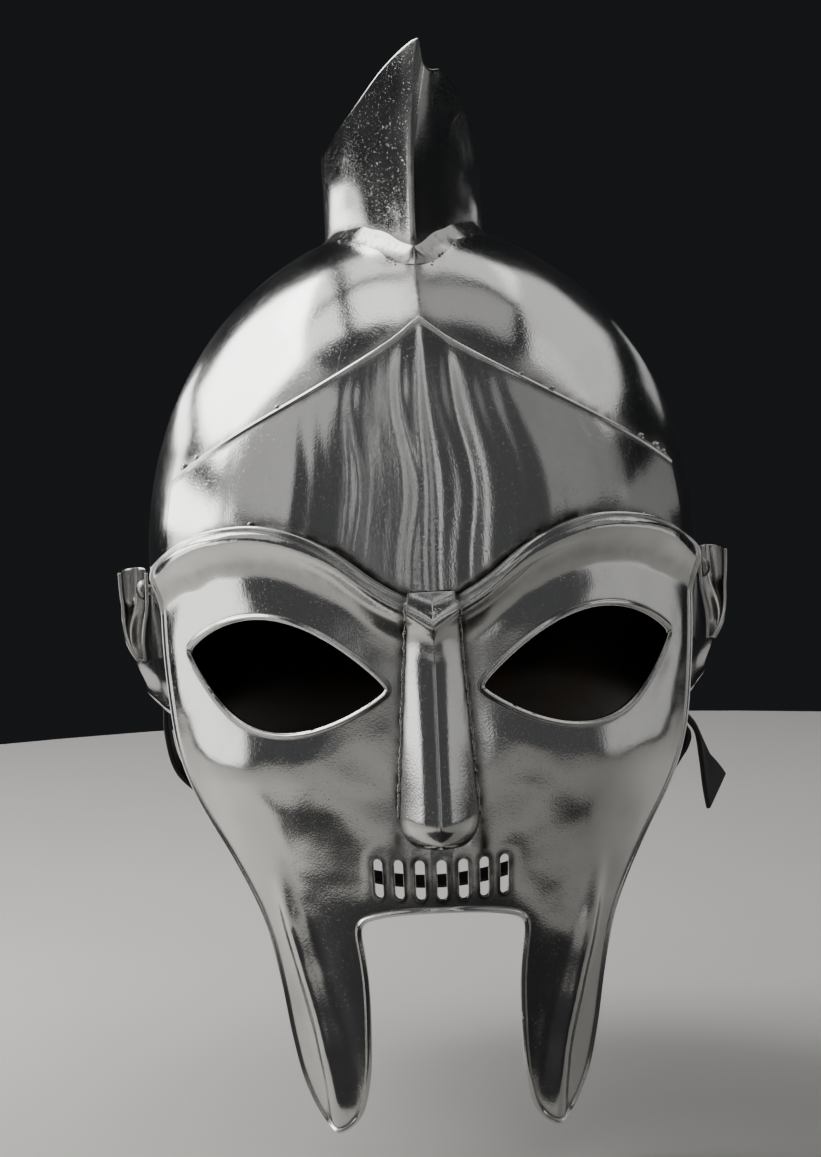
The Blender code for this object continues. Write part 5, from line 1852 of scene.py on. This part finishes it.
def waxed_thread(colours):
    """Linen thread in wax: dull, with the twist of its plies 0.4 mm apart."""
    material, tree, shader = new_material("waxed_thread")
    spot = add(tree, "ShaderNodeTexCoord").outputs["Object"]
    turned = add(tree, "ShaderNodeMapping", {"Vector": spot, "Rotation": (0.8, 0.0, 0.4)})
    plies = add(tree, "ShaderNodeTexWave", {"Vector": turned.outputs[0], "Scale": 400.0, "Distortion": 1.0})
    colour = add(
        tree, "ShaderNodeMix",
        {0: plies.outputs[1], 6: colour4(linear("#1E1A16")), 7: colour4(colours.thread)}, data_type="RGBA",
    )
    twist = add(tree, "ShaderNodeBump", {"Height": plies.outputs[1], "Strength": 0.5, "Distance": 0.0001})
    feed(tree, shader, {
        "Base Color": colour.outputs[2], "Roughness": 0.6, "Normal": twist.outputs[0],
    })
    return material


def material_named(name):
    """Makes each finish the first time that a piece asks for it."""
    if name in bpy.data.materials:
        return bpy.data.materials[name]
    colours = bpy.context.scene.helmet_colours
    if name in ("buffed_steel", "buffed_sheet"):
        return polished_steel(name, colours, lines_on_sheet=name == "buffed_sheet")
    makers = (raw_steel_and_shade, soft_solder, forged_steel, black_leather, waxed_thread)
    return {maker.__name__: maker for maker in makers}[name](colours)


# ---------------------------------------------------------------- stage
VIEW_CENTRE = Vector((-0.0049, 0.0, -0.1358))
VIEW_DISTANCE = 1.20
VIEW_AZIMUTH = radians(-1.0)
VIEW_ELEVATION = radians(7.3)
VIEW_ROLL = radians(-2.2)
VIEW_ANGLE = radians(21)
LIGHT_CENTRE = Vector((0.0, 0.0, -0.08))
CLIP_START = 0.05
FLOOR_RADIUS = 0.85
FLOOR_SEGMENTS = 96
FLOOR_BELOW = 0.012                 # under the cheek guards' tips
# Black cards on the floor: from and to across, and from and to ahead of the middle of the helmet.
CARDS = ((-0.27, 0.235, 0.135, 0.36), (-0.10, 0.13, 0.36, 0.80))
CARD_LIFT = 0.003                   # above the floor
# Where the wall's grey starts and where it is full, on a way from -1 ahead of the face to 1 behind it.
WALL_GREY = (0.30, -0.35)

Softbox = namedtuple("Softbox", "name azimuth elevation distance width height brightness")
# Azimuths run from the viewer towards the wearer's left, in degrees. A brightness is a share of its group's.
KEY_BOXES = (
    Softbox("key_high", -119, 34, 0.95, 0.74, 0.62, 1.00),
    Softbox("key_low", -95, -13, 0.45, 0.36, 0.12, 0.34),
    Softbox("key_edge", -79, 30, 1.20, 0.86, 1.00, 0.075),
    Softbox("key_middle", -107, 1.0, 0.45, 0.36, 0.085, 0.80),
    Softbox("crest_glow", -137, 9.0, 0.45, 0.205, 0.045, 0.66),
)
FILL_BOXES = (
    Softbox("fill_high", 119, 37, 0.95, 0.80, 0.54, 1.00),
    Softbox("fill_low", 88, -13, 0.45, 0.42, 0.12, 0.60),
    Softbox("fill_edge", 77, 30, 1.20, 0.86, 1.00, 0.26),
    Softbox("fill_middle", 103, 1.0, 0.45, 0.34, 0.085, 0.24),
    Softbox("crest_fill", 146, 8.0, 0.45, 0.15, 0.045, 0.50),
)
STRIP_BOXES = (
    Softbox("strip_edge", -37, 38, 1.50, 0.03, 3.60, 0.60),
    Softbox("strip_thin", -29, 38, 1.50, 0.03, 3.60, 1.50),
    Softbox("strip_bright", -17, 38, 1.50, 0.05, 3.60, 0.85),
    Softbox("strip_middle", -11, 38, 1.50, 0.20, 3.60, 0.36),
    Softbox("strip_dim", 4, 38, 1.50, 0.28, 3.60, 0.24),
    Softbox("strip_left", 21, 38, 1.50, 0.22, 3.60, 0.60),
)
# Ceiling panels between glazing bars: how far each reaches across and back, and its share of the brightness.
CEILING_HEIGHT = 0.75
CEILING_COLUMNS = ((-0.75, -0.34), (-0.27, 0.01), (0.08, 0.52))
CEILING_ROWS = ((-0.05, 0.26), (0.33, 0.75))
CEILING_SHARES = ((1.0, 1.0, 0.22), (1.0, 0.8, 0.5))


def area_light(name, spot, aim, size, brightness):
    """A softbox of even brightness, in watts for each square metre and steradian."""
    light = bpy.data.lights.new(name, "AREA")
    light.shape = "RECTANGLE"
    light.size, light.size_y = size
    light.energy = brightness * pi * size[0] * size[1]
    lamp = bpy.data.objects.new(name, light)
    lamp.location = spot
    lamp.rotation_euler = (Vector(aim) - Vector(spot)).to_track_quat("-Z", "Y").to_euler()
    lamp.visible_camera = False
    bpy.context.scene.collection.objects.link(lamp)


def direction(azimuth, elevation):
    """A unit vector. Azimuth runs from the viewer's side towards +X."""
    return Vector((
        np.sin(azimuth) * np.cos(elevation),
        -np.cos(azimuth) * np.cos(elevation),
        np.sin(elevation),
    ))


def make_lights(settings):
    groups = ((KEY_BOXES, settings.key), (FILL_BOXES, settings.fill), (STRIP_BOXES, settings.strips))
    for boxes, brightness in groups:
        for box in boxes:
            spot = LIGHT_CENTRE + direction(radians(box.azimuth), radians(box.elevation)) * box.distance
            area_light(box.name, spot, LIGHT_CENTRE, (box.width, box.height), brightness * box.brightness)
    for row, shares in zip(CEILING_ROWS, CEILING_SHARES):
        for column, share in zip(CEILING_COLUMNS, shares):
            spot = Vector((sum(column) / 2, sum(row) / 2, CEILING_HEIGHT))
            size = (column[1] - column[0], row[1] - row[0])
            area_light("ceiling_panel", spot, spot - Vector((0, 0, 1)), size, settings.ceiling * share)

    world = bpy.data.worlds.new("dim_studio")
    world.use_nodes = True
    tree = world.node_tree
    background = tree.nodes["Background"]
    facing = add(tree, "ShaderNodeTexCoord").outputs["Generated"]
    parts = add(tree, "ShaderNodeSeparateXYZ", {0: facing})
    starts, full = WALL_GREY
    ahead = add(
        tree, "ShaderNodeMapRange",
        {"Value": parts.outputs[1], "From Min": starts, "From Max": full, "To Min": 0.0, "To Max": 1.0},
    )
    wall = add(
        tree, "ShaderNodeMix",
        {0: ahead.outputs[0], 6: colour4(settings.back_wall), 7: colour4(settings.front_wall)},
        data_type="RGBA",
    )
    tree.links.new(wall.outputs[2], background.inputs["Color"])
    bpy.context.scene.world = world


def make_camera():
    back = direction(VIEW_AZIMUTH, VIEW_ELEVATION)
    camera = bpy.data.cameras.new("camera")
    camera.sensor_fit = "VERTICAL"
    camera.angle = VIEW_ANGLE
    camera.clip_start = CLIP_START
    viewer = bpy.data.objects.new("camera", camera)
    viewer.location = VIEW_CENTRE + back * VIEW_DISTANCE
    aim = back.to_track_quat("Z", "Y").to_matrix() @ Matrix.Rotation(VIEW_ROLL, 3, "Z")
    viewer.rotation_euler = aim.to_euler()
    bpy.context.scene.collection.objects.link(viewer)
    bpy.context.scene.camera = viewer


def make_floor(settings):
    """A round table top, painted pale and matt."""
    material, tree, shader = new_material("pale_floor")
    spot = add(tree, "ShaderNodeTexCoord").outputs["Object"]
    mottle = add(tree, "ShaderNodeTexNoise", {"Vector": spot, "Scale": 6.0, "Detail": 3.0})
    colour = add(
        tree, "ShaderNodeMix",
        {0: mottle.outputs[0], 6: colour4(settings.floor), 7: colour4(linear("#C1BFBB"))}, data_type="RGBA",
    )
    feed(tree, shader, {"Base Color": colour.outputs[2], "Roughness": 0.7})
    bm = bmesh.new()
    bmesh.ops.create_circle(bm, cap_ends=True, segments=FLOOR_SEGMENTS, radius=FLOOR_RADIUS)
    bmesh.ops.translate(bm, verts=bm.verts, vec=(0, 0, CAD_BOX[0].z - FLOOR_BELOW))
    floor = object_of("floor", bm, [material])


def make_cards():
    """Black cards that lie ahead of the helmet and show only where the steel mirrors them."""
    material, tree, shader = new_material("black_card")
    feed(tree, shader, {"Base Color": colour4(linear("#262628")), "Roughness": 0.6})
    bm = bmesh.new()
    level = CAD_BOX[0].z - FLOOR_BELOW + CARD_LIFT
    for left, right, near, far in CARDS:
        corners = ((left, -far), (right, -far), (right, -near), (left, -near))
        bm.faces.new([bm.verts.new((x, y, level)) for x, y in corners])
    cards = object_of("black_cards", bm, [material])
    cards.visible_camera = cards.visible_diffuse = cards.visible_shadow = False


# ---------------------------------------------------------------- operators
def sheets():
    return [material_named("buffed_sheet"), material_named("raw_steel_and_shade")]


class HELMET_OT_skull(bpy.types.Operator):
    """Raise the skull from the crown to the neck rim"""

    bl_idname = "helmet.skull"
    bl_label = "Skull"

    def execute(self, context):
        make_skull(context.scene.helmet_sizes, [material_named("buffed_steel"), material_named("raw_steel_and_shade")])
        return {"FINISHED"}


class HELMET_OT_frontlet(bpy.types.Operator):
    """Lay the peaked sheet on the forehead"""

    bl_idname = "helmet.frontlet"
    bl_label = "Frontlet"

    def execute(self, context):
        make_frontlet(context.scene.helmet_sizes, sheets())
        return {"FINISHED"}


class HELMET_OT_face_plate(bpy.types.Operator):
    """Cut, hem and form the face plate with its cheek guards"""

    bl_idname = "helmet.face_plate"
    bl_label = "Face Plate"

    def execute(self, context):
        make_face_plate(context.scene.helmet_sizes, sheets())
        return {"FINISHED"}


class HELMET_OT_nasal(bpy.types.Operator):
    """Form the keeled bar over the nose"""

    bl_idname = "helmet.nasal"
    bl_label = "Nasal"

    def execute(self, context):
        make_nasal(context.scene.helmet_sizes, sheets())
        return {"FINISHED"}


class HELMET_OT_crest(bpy.types.Operator):
    """Fold the crest's two plates"""

    bl_idname = "helmet.crest"
    bl_label = "Crest"

    def execute(self, context):
        make_crest(context.scene.helmet_sizes, [material_named("buffed_sheet")] * 2)
        return {"FINISHED"}


class HELMET_OT_solder(bpy.types.Operator):
    """Run the solder along the crest's foot, the nasal and the hems"""

    bl_idname = "helmet.solder"
    bl_label = "Solder"

    def execute(self, context):
        make_crest_solder(context.scene.helmet_sizes, material_named("soft_solder"))
        make_seam_solder(context.scene.helmet_sizes, material_named("soft_solder"))
        return {"FINISHED"}


class HELMET_OT_ears(bpy.types.Operator):
    """Fold both ear scoops and set their rivets"""

    bl_idname = "helmet.ears"
    bl_label = "Ear Scoops and Rivets"

    def execute(self, context):
        for side in (-1, 1):
            make_ear_guard(side, context.scene.helmet_sizes, [material_named("buffed_sheet")] * 2)
            make_rivet(side, material_named("forged_steel"))
        return {"FINISHED"}


class HELMET_OT_straps(bpy.types.Operator):
    """Cut both straps, sew the chin strap's end and bend the buckle"""

    bl_idname = "helmet.straps"
    bl_label = "Straps and Buckle"

    def execute(self, context):
        leather = material_named("black_leather")
        make_strap("chin_strap_leather", "chin_strap", chin_strap_line(), leather, seed=71)
        make_strap(
            "buckle_strap_leather", "buckle_strap", buckle_strap_line(), leather, seed=73,
            slant=FREE_END_SLANT, twist=FREE_END_TWIST,
        )
        make_stitches(material_named("waxed_thread"))
        make_buckle(material_named("forged_steel"))
        return {"FINISHED"}


class HELMET_OT_stage(bpy.types.Operator):
    """Set the floor, the lights and the camera"""

    bl_idname = "helmet.stage"
    bl_label = "Studio Stage"

    def execute(self, context):
        make_camera()
        make_floor(context.scene.helmet_stage)
        make_cards()
        make_lights(context.scene.helmet_stage)
        return {"FINISHED"}


STEPS = (
    HELMET_OT_skull,
    HELMET_OT_frontlet,
    HELMET_OT_face_plate,
    HELMET_OT_nasal,
    HELMET_OT_crest,
    HELMET_OT_solder,
    HELMET_OT_ears,
    HELMET_OT_straps,
    HELMET_OT_stage,
)


class HELMET_PT_looks(bpy.types.Panel):
    bl_label = "Gladiator Helmet"
    bl_idname = "HELMET_PT_looks"
    bl_space_type = "VIEW_3D"
    bl_region_type = "UI"
    bl_category = "Helmet"

    def draw(self, context):
        layout = self.layout
        for group in (context.scene.helmet_sizes, context.scene.helmet_colours, context.scene.helmet_stage):
            box = layout.box()
            for key in group.__annotations__:
                box.prop(group, key)
        for step in STEPS:
            layout.operator(step.bl_idname)


CLASSES = (HelmetSizes, HelmetColours, HelmetStage, *STEPS, HELMET_PT_looks)


def register():
    for cls in CLASSES:
        bpy.utils.register_class(cls)
    bpy.types.Scene.helmet_sizes = bpy.props.PointerProperty(type=HelmetSizes)
    bpy.types.Scene.helmet_colours = bpy.props.PointerProperty(type=HelmetColours)
    bpy.types.Scene.helmet_stage = bpy.props.PointerProperty(type=HelmetStage)


def unregister():
    del bpy.types.Scene.helmet_stage
    del bpy.types.Scene.helmet_colours
    del bpy.types.Scene.helmet_sizes
    for cls in reversed(CLASSES):
        bpy.utils.unregister_class(cls)


def main():
    register()
    for step in STEPS:
        group, name = step.bl_idname.split(".")
        getattr(getattr(bpy.ops, group), name)()


if __name__ == "__main__":
    main()
